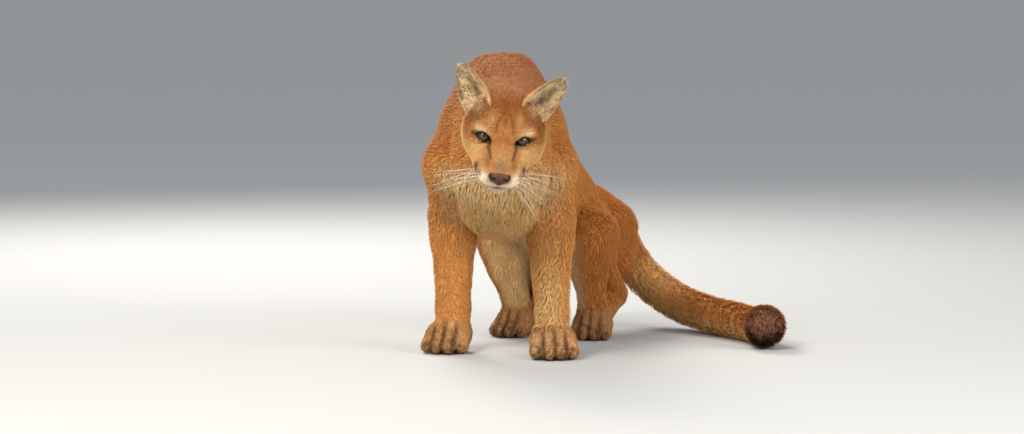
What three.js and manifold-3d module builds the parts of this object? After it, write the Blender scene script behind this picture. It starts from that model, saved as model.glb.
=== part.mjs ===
// A life-size cougar (Puma concolor), a grown male in his short summer coat, on a level floor.
// He stands on straight forelegs with his head lowered and his haunches sunk in a half crouch,
// and his long tail comes round his left side and lies along the floor.
// Millimetres, +Z up. He faces -Y, and +X is his own left side. The floor is z = 0.
// The flesh is one smooth distance function, made of tapered limbs and rounded muscles that melt
// into each other. It is turned into triangles piece by piece and parted by thin plane cuts.

import * as THREE from "three";
import { triTable } from "three/addons/objects/MarchingCubes.js";
import { mergeVertices } from "three/addons/utils/BufferGeometryUtils.js";
import Module from "manifold-3d";

const wasm = await Module();
wasm.setup();

// Driving measures. Radii and half widths reach to the tips of the coat.
const WITHERS_HEIGHT = 630;
const CUT_GAP = 0.3; // free space between two nodes that meet
const HEAD_ORIGIN = [6.6, -252, 470]; // midway between the eyes' centres
const HEAD_PITCH = 40; // degrees that the palate points down
const HEAD_YAW = 3;
const HEAD_ROLL = 7;
const EYE_HALF_SPACING = 38.5;
const EYE_RADIUS = 18;
const LID_RADIUS = 21.2; // outside of the lids, round the eye's centre
const LID_SLANT = 22; // degrees that the slit between the lids rises outwards
const SLIT_HALF_LENGTH = 16;
const SLIT_ABOVE = 7;
const SLIT_BELOW = 9;
const EAR_HEIGHT = 90;
const EAR_HALF_WIDTH = 34;
const PELVIS = [165, 548]; // where the midline crosses the hips, seen from above
const TRUNK_YAW = 20; // degrees that the trunk is turned away from the head's line

const radians = THREE.MathUtils.degToRad;

// Distance functions. Each takes a point's x, y, z and is negative inside.

function roundCone([ax, ay, az], ra, [bx, by, bz], rb) {
  const dx = bx - ax;
  const dy = by - ay;
  const dz = bz - az;
  const l2 = dx * dx + dy * dy + dz * dz;
  const rr = ra - rb;
  const a2 = l2 - rr * rr;
  return (x, y, z) => {
    const px = x - ax;
    const py = y - ay;
    const pz = z - az;
    const along = px * dx + py * dy + pz * dz;
    const past = along - l2;
    const x2 = (px * l2 - dx * along) ** 2 + (py * l2 - dy * along) ** 2 + (pz * l2 - dz * along) ** 2;
    const k = Math.sign(rr) * rr * rr * x2;
    if (Math.sign(past) * a2 * past * past * l2 > k) return Math.sqrt(x2 + past * past * l2) / l2 - rb;
    if (Math.sign(along) * a2 * along * along * l2 < k) return Math.sqrt(x2 + along * along * l2) / l2 - ra;
    return (Math.sqrt((x2 * a2) / l2) + along * rr) / l2 - ra;
  };
}

function ellipsoid([cx, cy, cz], [rx, ry, rz]) {
  return (x, y, z) => {
    const px = (x - cx) / rx;
    const py = (y - cy) / ry;
    const pz = (z - cz) / rz;
    const k0 = Math.hypot(px, py, pz);
    const k1 = Math.hypot(px / rx, py / ry, pz / rz);
    return k1 < 1e-9 ? -Math.min(rx, ry, rz) : (k0 * (k0 - 1)) / k1;
  };
}

// The same distance, of a form that stands in a turned and shifted frame.
function inFrame(frame, distance) {
  const e = frame.clone().invert().elements;
  return (x, y, z) =>
    distance(
      e[0] * x + e[4] * y + e[8] * z + e[12],
      e[1] * x + e[5] * y + e[9] * z + e[13],
      e[2] * x + e[6] * y + e[10] * z + e[14],
    );
}

// An ellipsoid whose second radius lies along a direction, and whose first stays level.
function bulk(centre, direction, radii) {
  const along = new THREE.Vector3(...direction).normalize();
  const side = new THREE.Vector3().crossVectors(along, new THREE.Vector3(0, 0, 1)).normalize();
  const up = new THREE.Vector3().crossVectors(side, along);
  const frame = new THREE.Matrix4().makeBasis(side, along, up).setPosition(...centre);
  return inFrame(frame, ellipsoid([0, 0, 0], radii));
}

// The flesh is a list of forms, each melted into those before it over its own blend width.
const flesh = [];

function add(distance, blend) {
  flesh.push({ distance, blend, carved: false });
}

function carve(distance, blend) {
  flesh.push({ distance, blend, carved: true });
}

function skin(x, y, z) {
  let f = 1000;
  for (const { distance, blend, carved } of flesh) {
    const d = distance(x, y, z);
    const other = carved ? -d : d;
    const h = Math.max(blend - Math.abs(f - other), 0) / blend;
    const bulge = (h * h * blend) / 4;
    f = carved ? Math.max(f, other) + bulge : Math.min(f, other) - bulge;
  }
  return f;
}

// Trunk: withers, shoulder blades, rib cage, loin, belly and rump.
const RIB_AXIS = [0.2, 0.97, -0.04];
const LOIN_AXIS = [0.36, 0.86, -0.36];
const RUMP_AXIS = [0.34, 0.9, -0.3];
add(bulk([20, 150, 425], RIB_AXIS, [126, 215, 165]), 30);
add(bulk([5, 140, WITHERS_HEIGHT - 92], RIB_AXIS, [68, 125, 92]), 60);
add(bulk([0, 15, 330], RIB_AXIS, [92, 105, 92]), 60);
add(bulk([72, 370, 364], LOIN_AXIS, [92, 195, 114]), 70);
add(bulk([76, 365, 285], LOIN_AXIS, [84, 165, 90]), 60);
add(bulk([130, 538, 280], RUMP_AXIS, [88, 130, 94]), 60);
add(bulk([180, 618, 232], RUMP_AXIS, [74, 72, 82]), 50);

// Neck and throat, from the shoulders to the back of the skull.
add(roundCone([3, 45, 478], 118, [8, -145, 500], 78), 50);
add(bulk([0, -88, 392], [0, 1, -0.25], [108, 98, 104]), 60);

// Head, in its own frame: x to the animal's left, -y to the nose along the palate, z up.
const headFrame = new THREE.Matrix4()
  .makeRotationY(radians(HEAD_ROLL))
  .multiply(new THREE.Matrix4().makeRotationZ(radians(HEAD_YAW)))
  .multiply(new THREE.Matrix4().makeRotationX(radians(HEAD_PITCH)))
  .setPosition(...HEAD_ORIGIN);

function addHead(distance, blend) {
  add(inFrame(headFrame, distance), blend);
}

function carveHead(distance, blend) {
  carve(inFrame(headFrame, distance), blend);
}

addHead(ellipsoid([0, 50, 6], [60, 68, 56]), 40); // cranium
addHead(ellipsoid([0, 8, 15], [46, 42, 28]), 26); // forehead
for (const side of [-1, 1]) {
  addHead(ellipsoid([side * 44, 26, -14], [39, 48, 38]), 30); // cheek bone
  addHead(ellipsoid([side * 37, 48, -44], [38, 48, 40]), 30); // jaw muscle
  addHead(roundCone([side * 36, 0, -30], 32, [side * 27, -54, -38], 26), 26); // cheek to lip
  addHead(roundCone([side * 16, -16, 16], 12, [side * 50, 2, 17], 13), 16); // brow
}
for (const side of [-1, 1]) {
  addHead(roundCone([side * 9, -4, -4], 21, [side * 9, -78, -19], 14), 16); // bridge of the nose
}
addHead(roundCone([0, -20, -34], 38, [0, -66, -38], 32), 20); // upper jaw
for (const side of [-1, 1]) {
  addHead(ellipsoid([side * 22, -72, -40], [26, 27, 20]), 10); // whisker pad
}
addHead(roundCone([0, -30, -60], 26, [0, -74, -63], 20), 8); // chin
for (const side of [-1, 1]) {
  carveHead(ellipsoid([side * 39, -14, 7], [21, 14, 13]), 12); // hollow before the eye
}

// Forelegs. Each has a shoulder blade, an upper arm, an elbow, a forearm, a wrist and a paw.
const FORE = {
  left: { side: 1, elbow: [108, 66, 285], wrist: [108, -28, 92], pawYaw: 4 },
  right: { side: -1, elbow: [-101, 122, 285], wrist: [-100, 96, 92], pawYaw: -14 },
};

function addPaw([x, y], yaw, size, blend) {
  const frame = new THREE.Matrix4()
    .makeTranslation(x, y, 0)
    .multiply(new THREE.Matrix4().makeRotationZ(radians(yaw)))
    .multiply(new THREE.Matrix4().makeScale(size, size, size));
  const put = (distance, k) => {
    const local = inFrame(frame, distance);
    add((px, py, pz) => local(px, py, pz) * size, k);
  };
  put(ellipsoid([0, -34, 34], [49, 46, 38]), blend); // back of the paw
  put(ellipsoid([0, -12, 15], [34, 30, 18]), 12); // heel pad
  const toes = [
    { x: -34, tip: -70 },
    { x: -12.5, tip: -88 },
    { x: 12.5, tip: -88 },
    { x: 34, tip: -70 },
  ];
  for (const toe of toes) {
    put(roundCone([toe.x * 0.9, toe.tip + 34, 40], 19, [toe.x * 1.06, toe.tip, 16.5], 17.5), 6);
  }
}

for (const { side, elbow, wrist, pawYaw } of Object.values(FORE)) {
  const shoulder = [side * 96, 12, 398];
  add(roundCone([side * 38, 150, WITHERS_HEIGHT - 38], 30, shoulder, 62), 40);
  add(roundCone(shoulder, 64, elbow, 50), 30);
  add(roundCone([elbow[0], elbow[1] + 34, elbow[2] + 14], 26, elbow, 40), 20);
  const flexor = [elbow[0] - side * 2, elbow[1] - 8, elbow[2] - 45];
  add(roundCone(elbow, 50, flexor, 48), 20);
  add(roundCone(flexor, 49, wrist, 38), 20);
  add(roundCone(wrist, 36, [wrist[0], wrist[1] - 26, 52], 38), 16);
  addPaw(wrist, pawYaw, 1, 18);
}

// Hind legs, in the pelvis frame: x to the animal's left, y backwards along the trunk, z up.
const pelvisFrame = new THREE.Matrix4()
  .makeTranslation(PELVIS[0], PELVIS[1], 0)
  .multiply(new THREE.Matrix4().makeRotationZ(radians(-TRUNK_YAW)));

function fromPelvis([x, y, z]) {
  return new THREE.Vector3(x, y, z).applyMatrix4(pelvisFrame).toArray();
}

function addHaunch(side) {
  const at = (x, y, z) => fromPelvis([side * x, y, z]);
  const knee = at(102, -208, 212);
  const hock = at(90, -6, 86);
  const ball = fromPelvis([side * 86 + 12, -158, 42]);
  const thighAxis = new THREE.Vector3(...knee).sub(new THREE.Vector3(...at(62, 0, 255))).toArray();
  add(bulk(at(76 - side * 6, -88, 194), thighAxis, [55, 160, 90]), 34);
  add(roundCone(at(60, 62, 225), 66, at(84, 22, 150), 48), 40);
  add(roundCone(at(94, -150, 225), 60, knee, 46), 30);
  add(roundCone(knee, 45, at(98, -150, 168), 44), 20);
  add(roundCone(at(98, -150, 168), 44, hock, 32), 16);
  add(roundCone(hock, 31, at(90, 6, 92), 24), 10);
  add(roundCone(hock, 32, ball, 36), 12);
  add(roundCone(knee, 40, fromPelvis([side * 88 + 10, -166, 72]), 34), 20);
  const foot = fromPelvis([side * 86 + 12, -142, 0]);
  addPaw(foot, -TRUNK_YAW + side * 8, 0.9, 14);
}

addHaunch(1);
addHaunch(-1);

// Tail: a curve from the rump down to the floor, round the left side, with a blunt full tip.
const TAIL_STATIONS = [
  { at: [200, 618, 258], radius: 54 },
  { at: [256, 660, 190], radius: 48 },
  { at: [322, 644, 112], radius: 45 },
  { at: [390, 570, 64], radius: 44 },
  { at: [455, 469, 45], radius: 43 },
  { at: [512, 362, 40], radius: 42 },
  { at: [552, 257, 38], radius: 40 },
  { at: [566, 172, 46], radius: 48 },
  { at: [561, 122, 46], radius: 45 },
];
const TAIL_STEPS = 24;
const tailCurve = new THREE.CatmullRomCurve3(TAIL_STATIONS.map(({ at }) => new THREE.Vector3(...at)));

function tailRadius(t) {
  const place = t * (TAIL_STATIONS.length - 1);
  const i = Math.min(Math.floor(place), TAIL_STATIONS.length - 2);
  return THREE.MathUtils.lerp(TAIL_STATIONS[i].radius, TAIL_STATIONS[i + 1].radius, place - i);
}

for (let i = 0; i < TAIL_STEPS; i++) {
  const t0 = i / TAIL_STEPS;
  const t1 = (i + 1) / TAIL_STEPS;
  const from = tailCurve.getPoint(t0).toArray();
  const to = tailCurve.getPoint(t1).toArray();
  add(roundCone(from, tailRadius(t0), to, tailRadius(t1)), i < 4 ? 30 : 8);
}

// Turning the flesh into triangles. A box of cells is marched, then the corners are drawn onto
// the surface and evened out along it.

const CORNERS = [
  [0, 0, 0], [1, 0, 0], [1, 1, 0], [0, 1, 0],
  [0, 0, 1], [1, 0, 1], [1, 1, 1], [0, 1, 1],
];
const EDGES = [
  [0, 1], [1, 2], [2, 3], [3, 0], [4, 5], [5, 6],
  [6, 7], [7, 4], [0, 4], [1, 5], [2, 6], [3, 7],
];
const EVENING_ROUNDS = 4;

function boxed(low, high) {
  return (x, y, z) => {
    const wall = Math.max(low[0] - x, x - high[0], low[1] - y, y - high[1], low[2] - z, z - high[2]);
    return Math.max(skin(x, y, z), wall);
  };
}

function ontoSurface(field, p, step) {
  for (let round = 0; round < 3; round++) {
    const f = field(p[0], p[1], p[2]);
    const gx = field(p[0] + step, p[1], p[2]) - field(p[0] - step, p[1], p[2]);
    const gy = field(p[0], p[1] + step, p[2]) - field(p[0], p[1] - step, p[2]);
    const gz = field(p[0], p[1], p[2] + step) - field(p[0], p[1], p[2] - step);
    const slope = (gx * gx + gy * gy + gz * gz) / (2 * step);
    if (slope < 1e-6) return;
    p[0] -= (f * gx) / slope;
    p[1] -= (f * gy) / slope;
    p[2] -= (f * gz) / slope;
  }
}

function marched(low, high, cell) {
  const outer = [low.map((v) => v + cell * 0.6), high.map((v) => v - cell * 0.6)];
  const field = boxed(outer[0], outer[1]);
  const count = low.map((v, i) => Math.ceil((high[i] - v) / cell) + 1);
  const index = (i, j, k) => i + count[0] * (j + count[1] * k);
  const values = new Float64Array(count[0] * count[1] * count[2]);
  for (let k = 0; k < count[2]; k++) {
    for (let j = 0; j < count[1]; j++) {
      for (let i = 0; i < count[0]; i++) {
        const f = field(low[0] + i * cell, low[1] + j * cell, low[2] + k * cell);
        values[index(i, j, k)] = Math.abs(f) < 1e-6 ? 1e-6 : f;
      }
    }
  }
  const points = [];
  const made = new Map();
  const triangles = [];
  const cornerOnEdge = (i, j, k, edge) => {
    const [a, b] = EDGES[edge].map((c) => [i + CORNERS[c][0], j + CORNERS[c][1], k + CORNERS[c][2]]);
    const ia = index(...a);
    const ib = index(...b);
    const key = ia < ib ? `${ia},${ib}` : `${ib},${ia}`;
    if (!made.has(key)) {
      const t = THREE.MathUtils.clamp(values[ia] / (values[ia] - values[ib]), 0.12, 0.88);
      made.set(key, points.length);
      points.push(a.map((v, n) => low[n] + cell * THREE.MathUtils.lerp(v, b[n], t)));
    }
    return made.get(key);
  };
  for (let k = 0; k < count[2] - 1; k++) {
    for (let j = 0; j < count[1] - 1; j++) {
      for (let i = 0; i < count[0] - 1; i++) {
        let mask = 0;
        CORNERS.forEach(([x, y, z], c) => {
          if (values[index(i + x, j + y, k + z)] < 0) mask |= 1 << c;
        });
        for (let t = mask * 16; triTable[t] !== -1; t += 3) {
          triangles.push(
            cornerOnEdge(i, j, k, triTable[t]),
            cornerOnEdge(i, j, k, triTable[t + 2]),
            cornerOnEdge(i, j, k, triTable[t + 1]),
          );
        }
      }
    }
  }
  const near = points.map(() => new Set());
  for (let t = 0; t < triangles.length; t += 3) {
    for (let n = 0; n < 3; n++) {
      near[triangles[t + n]].add(triangles[t + ((n + 1) % 3)]);
      near[triangles[t + ((n + 1) % 3)]].add(triangles[t + n]);
    }
  }
  const step = cell * 0.05;
  points.forEach((p) => ontoSurface(field, p, step));
  for (let round = 0; round < EVENING_ROUNDS; round++) {
    const evened = points.map((p, n) => {
      const mean = [0, 0, 0];
      near[n].forEach((m) => points[m].forEach((v, axis) => (mean[axis] += v / near[n].size)));
      return p.map((v, axis) => THREE.MathUtils.lerp(v, mean[axis], 0.5));
    });
    evened.forEach((p, n) => {
      ontoSurface(field, p, step);
      points[n] = p;
    });
  }
  return { points, triangles };
}

// Solids, joined and cut.

function solidOf({ points, triangles }) {
  const mesh = new wasm.Mesh({
    numProp: 3,
    vertProperties: new Float32Array(points.flat()),
    triVerts: new Uint32Array(triangles),
  });
  const made = new wasm.Manifold(mesh);
  if (made.volume() < 0) throw new Error("a marched mesh faces inwards");
  return made;
}

function solidFromGeometry(geometry) {
  const bare = new THREE.BufferGeometry();
  bare.setAttribute("position", geometry.getAttribute("position"));
  bare.setIndex(geometry.index);
  const merged = mergeVertices(bare, 1e-4);
  return new wasm.Manifold(
    new wasm.Mesh({
      numProp: 3,
      vertProperties: new Float32Array(merged.attributes.position.array),
      triVerts: new Uint32Array(merged.index.array),
    }),
  );
}

function largest(solid) {
  return solid.decompose().sort((a, b) => b.volume() - a.volume())[0];
}

// A region is a list of planes, each with a point and the direction that leads out of it.
const REACH = 4000;

function regionSolid(planes, grow) {
  return planes
    .map(({ point, out }) => {
      const away = new THREE.Vector3(...out).normalize();
      const block = new THREE.BoxGeometry(REACH, REACH, REACH);
      block.translate(0, 0, -REACH / 2 + grow);
      block.applyQuaternion(new THREE.Quaternion().setFromUnitVectors(new THREE.Vector3(0, 0, 1), away));
      block.translate(...point);
      return solidFromGeometry(block);
    })
    .reduce((whole, block) => whole.intersect(block));
}

const plane = (point, out) => ({ point, out });
const opposite = ({ point, out }) => ({ point, out: out.map((v) => -v) });
const FLOOR = plane([0, 0, 0], [0, 0, -1]);

// Where the body is parted. Each plane's direction leads towards the tail or the toes.
const behindHead = plane([0, -163, 510], [0, 0.932, -0.363]);
const behindNeck = plane([0, -30, 480], [0, 0.915, -0.404]);
const behindRibs = plane([62, 300, 400], [0.3, 0.9, -0.2]);
const beforeRump = plane([132, 452, 330], [0.34, 0.9, -0.27]);

function foreRegions(side, front, rear) {
  const inner = plane([side * 50, 0, 0], [-side, 0, 0]);
  const outer = plane([side * 230, 0, 0], [side, 0, 0]);
  const before = plane([0, front, 0], [0, -1, 0]);
  const after = plane([0, rear, 0], [0, 1, 0]);
  const level = (z) => plane([0, 0, z], [0, 0, 1]);
  const under = (z) => plane([0, 0, z], [0, 0, -1]);
  return {
    upper_arm: [inner, outer, before, after, level(345), under(232)],
    forearm: [plane([side * 8, 0, 0], [-side, 0, 0]), outer, before, after, level(232), under(78)],
    forepaw: [plane([side * 8, 0, 0], [-side, 0, 0]), outer, before, after, level(78)],
  };
}

function pelvisPlane(point, out) {
  const turned = new THREE.Vector3(...out).transformDirection(pelvisFrame).toArray();
  return plane(fromPelvis(point), turned);
}

function hindRegions(side) {
  const inner = pelvisPlane([side * 54, 0, 0], [-side, 0, 0]);
  const midline = pelvisPlane([side * 14, 0, 0], [-side, 0, 0]);
  const outer = pelvisPlane([side * 165, 0, 0], [side, 0, 0]);
  const before = pelvisPlane([0, -300, 0], [0, -1, 0]);
  const after = pelvisPlane([0, 88, 0], [0, 1, 0]);
  const top = pelvisPlane([side * 110, 0, 285], [-side * 0.6, 0, 0.8]);
  const belowThigh = pelvisPlane([0, -215, 188], [0, -0.206, -0.978]);
  const aboveFoot = pelvisPlane([0, -15, 84], [0, 0.092, 0.996]);
  return {
    thigh: [inner, outer, before, after, top, belowThigh],
    shank: [inner, outer, before, after, opposite(belowThigh), opposite(aboveFoot)],
    hind_foot: [midline, outer, before, after, aboveFoot],
  };
}

const TAIL_CUTS = [0.2, 0.5, 0.77]; // along the curve: root, then where the lengths meet
function tailPlane(t) {
  return plane(tailCurve.getPoint(t).toArray(), tailCurve.getTangent(t).toArray());
}
const tailRoot = tailPlane(TAIL_CUTS[0]);
const tailWall = plane([250, 0, 0], [-1, 0, 0]);
const tailInner = plane([338, 0, 0], [-1, 0, 0]);
const tailLid = plane([0, 0, 195], [0, 0, 1]);

const regions = {
  head: [behindHead],
  neck: [opposite(behindHead), behindNeck],
};
for (const [name, { side, wrist }] of Object.entries(FORE)) {
  const parts = foreRegions(side, wrist[1] - 150, wrist[1] + 175);
  for (const [part, planes] of Object.entries(parts)) {
    regions[`${part}_${name}`] = part === "upper_arm" ? [...planes, opposite(behindNeck)] : planes;
  }
}
for (const [name, side] of Object.entries({ left: 1, right: -1 })) {
  for (const [part, planes] of Object.entries(hindRegions(side))) regions[`${part}_${name}`] = planes;
}
regions.tail_base = [opposite(tailRoot), tailWall, tailLid, tailPlane(TAIL_CUTS[1])];
regions.tail_middle = [opposite(tailPlane(TAIL_CUTS[1])), tailInner, tailPlane(TAIL_CUTS[2])];
regions.tail_tip = [opposite(tailPlane(TAIL_CUTS[2])), tailInner];

const trunkRegions = {
  chest: [opposite(behindNeck), behindRibs],
  loin: [opposite(behindRibs), beforeRump],
  rump: [opposite(beforeRump)],
};

// The box that each node is marched in, and its cell.
const BOXES = {
  head: { low: [-130, -380, 300], high: [140, -100, 640], cell: 13 },
  neck: { low: [-190, -260, 240], high: [190, 60, 660], cell: 26 },
  chest: { low: [-230, -150, 180], high: [230, 380, 680], cell: 30 },
  loin: { low: [-90, 200, 130], high: [300, 560, 560], cell: 30 },
  rump: { low: [0, 380, 80], high: [400, 760, 460], cell: 28 },
  tail_base: { low: [215, 440, -30], high: [560, 760, 230], cell: 27 },
  tail_middle: { low: [330, 220, -30], high: [640, 560, 130], cell: 27 },
  tail_tip: { low: [330, 20, -30], high: [660, 330, 130], cell: 20 },
};
for (const [name, { side, wrist }] of Object.entries(FORE)) {
  const [x, y] = wrist;
  const left = x - 95;
  const right = x + 95;
  BOXES[`upper_arm_${name}`] = { low: [left, -120, 200], high: [right, y + 190, 380], cell: 26 };
  BOXES[`forearm_${name}`] = { low: [left, y - 90, 50], high: [right, y + 190, 262], cell: 22 };
  BOXES[`forepaw_${name}`] = { low: [left, y - 140, -20], high: [right, y + 70, 105], cell: 15.5 };
}
for (const [name, side] of Object.entries({ left: 1, right: -1 })) {
  const box = (low, high, cell) => {
    const corners = [];
    for (const x of [low[0], high[0]]) {
      for (const y of [low[1], high[1]]) {
        for (const z of [low[2], high[2]]) corners.push(new THREE.Vector3(...fromPelvis([side * x, y, z])));
      }
    }
    const around = new THREE.Box3().setFromPoints(corners);
    return { low: around.min.toArray(), high: around.max.toArray(), cell };
  };
  BOXES[`thigh_${name}`] = box([20, -310, 60], [210, 130, 380], 28);
  BOXES[`shank_${name}`] = box([20, -300, 30], [200, 110, 260], 24);
  BOXES[`hind_foot_${name}`] = box([0, -310, -20], [180, 90, 130], 14.5);
}

const solids = {};
function fleshIn(name) {
  const { low, high, cell } = BOXES[name];
  return solidOf(marched(low, high, cell));
}
// Each region gives way to those before it in the list.
const taken = [];
for (const [name, planes] of Object.entries({ ...regions, ...trunkRegions })) {
  let solid = fleshIn(name).intersect(regionSolid([...planes, FLOOR], -CUT_GAP / 2));
  for (const region of taken) solid = solid.subtract(region);
  taken.push(regionSolid(planes, CUT_GAP / 2));
  solids[name] = largest(solid);
}

// The face: lids round each eye, the eyes, the nose leather, the mouth and the ears.

function inHead(geometry) {
  return solidFromGeometry(geometry.applyMatrix4(headFrame));
}

function onAxes(along, over, out, origin) {
  return new THREE.Matrix4().makeBasis(along, over, out).setPosition(...origin);
}

// The almond slit between the lids, as a prism that leads from the eye's centre out of the head.
function slitPrism(side, frame) {
  const arc = (above, sign) => {
    const r = (SLIT_HALF_LENGTH ** 2 + above ** 2) / (2 * above);
    const points = [];
    for (let i = 0; i < 8; i++) {
      const x = SLIT_HALF_LENGTH * (1 - i / 4) * sign;
      points.push(new THREE.Vector2(x, sign * (above - r + Math.sqrt(r * r - x * x))));
    }
    return points;
  };
  const outline = new THREE.Shape([...arc(SLIT_ABOVE, 1), ...arc(SLIT_BELOW, -1)]);
  const prism = new THREE.ExtrudeGeometry(outline, { depth: 60, bevelEnabled: false });
  return solidFromGeometry(prism.applyMatrix4(frame));
}

function eyeFrame(side) {
  const pitch = radians(HEAD_PITCH);
  const gaze = new THREE.Vector3(side * 0.1, -Math.cos(pitch), Math.sin(pitch)).normalize();
  const outward = new THREE.Vector3(side, 0, 0).addScaledVector(gaze, -side * gaze.x).normalize();
  const up = new THREE.Vector3().crossVectors(outward, gaze).multiplyScalar(-side);
  const turn = radians(LID_SLANT);
  const along = outward.clone().multiplyScalar(Math.cos(turn)).addScaledVector(up, Math.sin(turn));
  const over = up.clone().multiplyScalar(Math.cos(turn)).addScaledVector(outward, -Math.sin(turn));
  const first = side < 0 ? along.negate() : along;
  return headFrame.clone().multiply(onAxes(first, over, gaze, [side * EYE_HALF_SPACING, 0, 0]));
}

function ball(radius, frame, detail) {
  return solidFromGeometry(new THREE.SphereGeometry(radius, detail * 2, detail).applyMatrix4(frame));
}

// Nose leather: wide above, drawn in below, with a nostril on each side.
function noseLeather(grow) {
  const nose = new THREE.SphereGeometry(1, 16, 10);
  const at = nose.getAttribute("position");
  for (let i = 0; i < at.count; i++) {
    const drawnIn = 1 - 0.42 * Math.max(0, -at.getZ(i));
    at.setXYZ(
      i,
      at.getX(i) * (22 + grow) * drawnIn,
      at.getY(i) * (17.5 + grow) - 85,
      at.getZ(i) * (14.5 + grow) - 24,
    );
  }
  return inHead(nose);
}

function nostril(side) {
  const hollow = new THREE.SphereGeometry(1, 8, 6);
  hollow.scale(4.4, 7, 3.2);
  hollow.rotateZ(radians(side * 24));
  hollow.rotateY(radians(side * 20));
  hollow.translate(side * 12, -99, -25);
  return inHead(hollow);
}

// The mouth is a groove that follows the skin round the muzzle, under the whisker pads.
function mouthGroove() {
  const points = [];
  for (let i = -5; i <= 5; i++) {
    const turn = radians(i * 13);
    const out = new THREE.Vector3(Math.sin(turn), -Math.cos(turn), 0);
    const from = new THREE.Vector3(0, -38, -56 + 8 * (i / 5) ** 2);
    let reach = 20;
    const place = new THREE.Vector3();
    for (let round = 0; round < 12; round++) {
      place.copy(from).addScaledVector(out, reach);
      const world = place.clone().applyMatrix4(headFrame);
      reach -= skin(world.x, world.y, world.z);
    }
    points.push(place.clone());
  }
  const path = new THREE.CatmullRomCurve3(points);
  const round = new THREE.Shape().absarc(0, 0, 2.6, 0, Math.PI * 2);
  const sweep = { steps: 16, curveSegments: 5, bevelEnabled: false, extrudePath: path };
  return inHead(new THREE.ExtrudeGeometry(round, sweep));
}

// An ear is a thick leaf curled into a cup. Its own frame: z to the tip, -y out of the opening.
const EAR_WIDTHS = [0.84, 0.94, 1, 1, 0.98, 0.93, 0.83, 0.66, 0.34];
const EAR_ROOT = -0.2;
const EARS = {
  left: { base: [54, 62, 28], tip: [0.74, 0.15, 0.66], opening: [0.45, -0.85, -0.25] },
  right: { base: [-54, 62, 28], tip: [-0.42, 0.2, 0.88], opening: [-0.62, -0.76, 0.1] },
};

function earSolid({ base, tip, opening }, grow) {
  const across = 10;
  const rows = EAR_WIDTHS.length;
  const thickness = 5.5;
  const leaf = (inner) => {
    const points = [];
    EAR_WIDTHS.forEach((width, row) => {
      const h = THREE.MathUtils.lerp(EAR_ROOT, 1, row / (rows - 1));
      const w = EAR_HALF_WIDTH * width;
      const depth = 24 * (1 - 0.75 * Math.max(h, 0));
      for (let i = 0; i <= across; i++) {
        const turn = radians(THREE.MathUtils.lerp(-96, 96, i / across));
        const shell = inner ? -thickness / 2 - grow : thickness / 2 + grow;
        points.push(
          new THREE.Vector3(
            (w + shell) * Math.sin(turn),
            (depth + shell) * Math.cos(turn) - 8 + h * 6,
            EAR_HEIGHT * h + (row === rows - 1 ? (inner ? -3 : 1) : 0),
          ),
        );
      }
    });
    return points;
  };
  const outer = leaf(false);
  const inner = leaf(true);
  const count = across + 1;
  const at = (row, i, inside) => row * count + i + (inside ? outer.length : 0);
  const faces = [];
  const quad = (a, b, c, d) => faces.push(a, b, c, a, c, d);
  for (let row = 0; row < rows - 1; row++) {
    for (let i = 0; i < across; i++) {
      quad(at(row, i), at(row + 1, i), at(row + 1, i + 1), at(row, i + 1));
      quad(at(row, i, 1), at(row, i + 1, 1), at(row + 1, i + 1, 1), at(row + 1, i, 1));
    }
    quad(at(row, 0), at(row, 0, 1), at(row + 1, 0, 1), at(row + 1, 0));
    quad(at(row, across), at(row + 1, across), at(row + 1, across, 1), at(row, across, 1));
  }
  for (let i = 0; i < across; i++) {
    quad(at(0, i), at(0, i + 1), at(0, i + 1, 1), at(0, i, 1));
    quad(at(rows - 1, i), at(rows - 1, i, 1), at(rows - 1, i + 1, 1), at(rows - 1, i + 1));
  }
  const toTip = new THREE.Vector3(...tip).normalize();
  const back = new THREE.Vector3(...opening).negate();
  back.addScaledVector(toTip, -back.dot(toTip)).normalize();
  const across3 = new THREE.Vector3().crossVectors(back, toTip);
  const root = new THREE.Vector3(...base).applyMatrix4(headFrame);
  const frame = new THREE.Matrix4().makeBasis(across3, back, toTip).setPosition(root);
  const points = [...outer, ...inner].map((p) => p.applyMatrix4(frame).toArray());
  return solidOf({ points, triangles: faces });
}

for (const [name, side] of [["left", 1], ["right", -1]]) {
  const frame = eyeFrame(side);
  const eye = ball(EYE_RADIUS, frame, 9);
  solids.head = solids.head
    .add(ball(LID_RADIUS, frame, 9))
    .subtract(slitPrism(side, frame))
    .subtract(ball(EYE_RADIUS + 0.4, frame, 9));
  solids[`eye_${name}`] = eye;
}
const nostrils = nostril(1).add(nostril(-1));
solids.head = solids.head.subtract(mouthGroove()).subtract(noseLeather(CUT_GAP)).subtract(nostrils);
solids.nose = largest(noseLeather(0).subtract(nostrils));
for (const [name, ear] of Object.entries(EARS)) {
  solids[`ear_${name}`] = earSolid(ear, 0);
  solids.head = solids.head.subtract(earSolid(ear, CUT_GAP));
}
solids.head = largest(solids.head);

// Colours of the coat and of the bare parts.
const TAWNY = 0xb5713a;
const COLOURS = { eye: 0x8a8a5e, nose: 0x6b4038, ear: 0xa07a55 };

const whole = new THREE.Box3();
for (const solid of Object.values(solids)) {
  const { min, max } = solid.boundingBox();
  whole.expandByPoint(new THREE.Vector3(...min));
  whole.expandByPoint(new THREE.Vector3(...max));
}
const middle = whole.getCenter(new THREE.Vector3());

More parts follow.
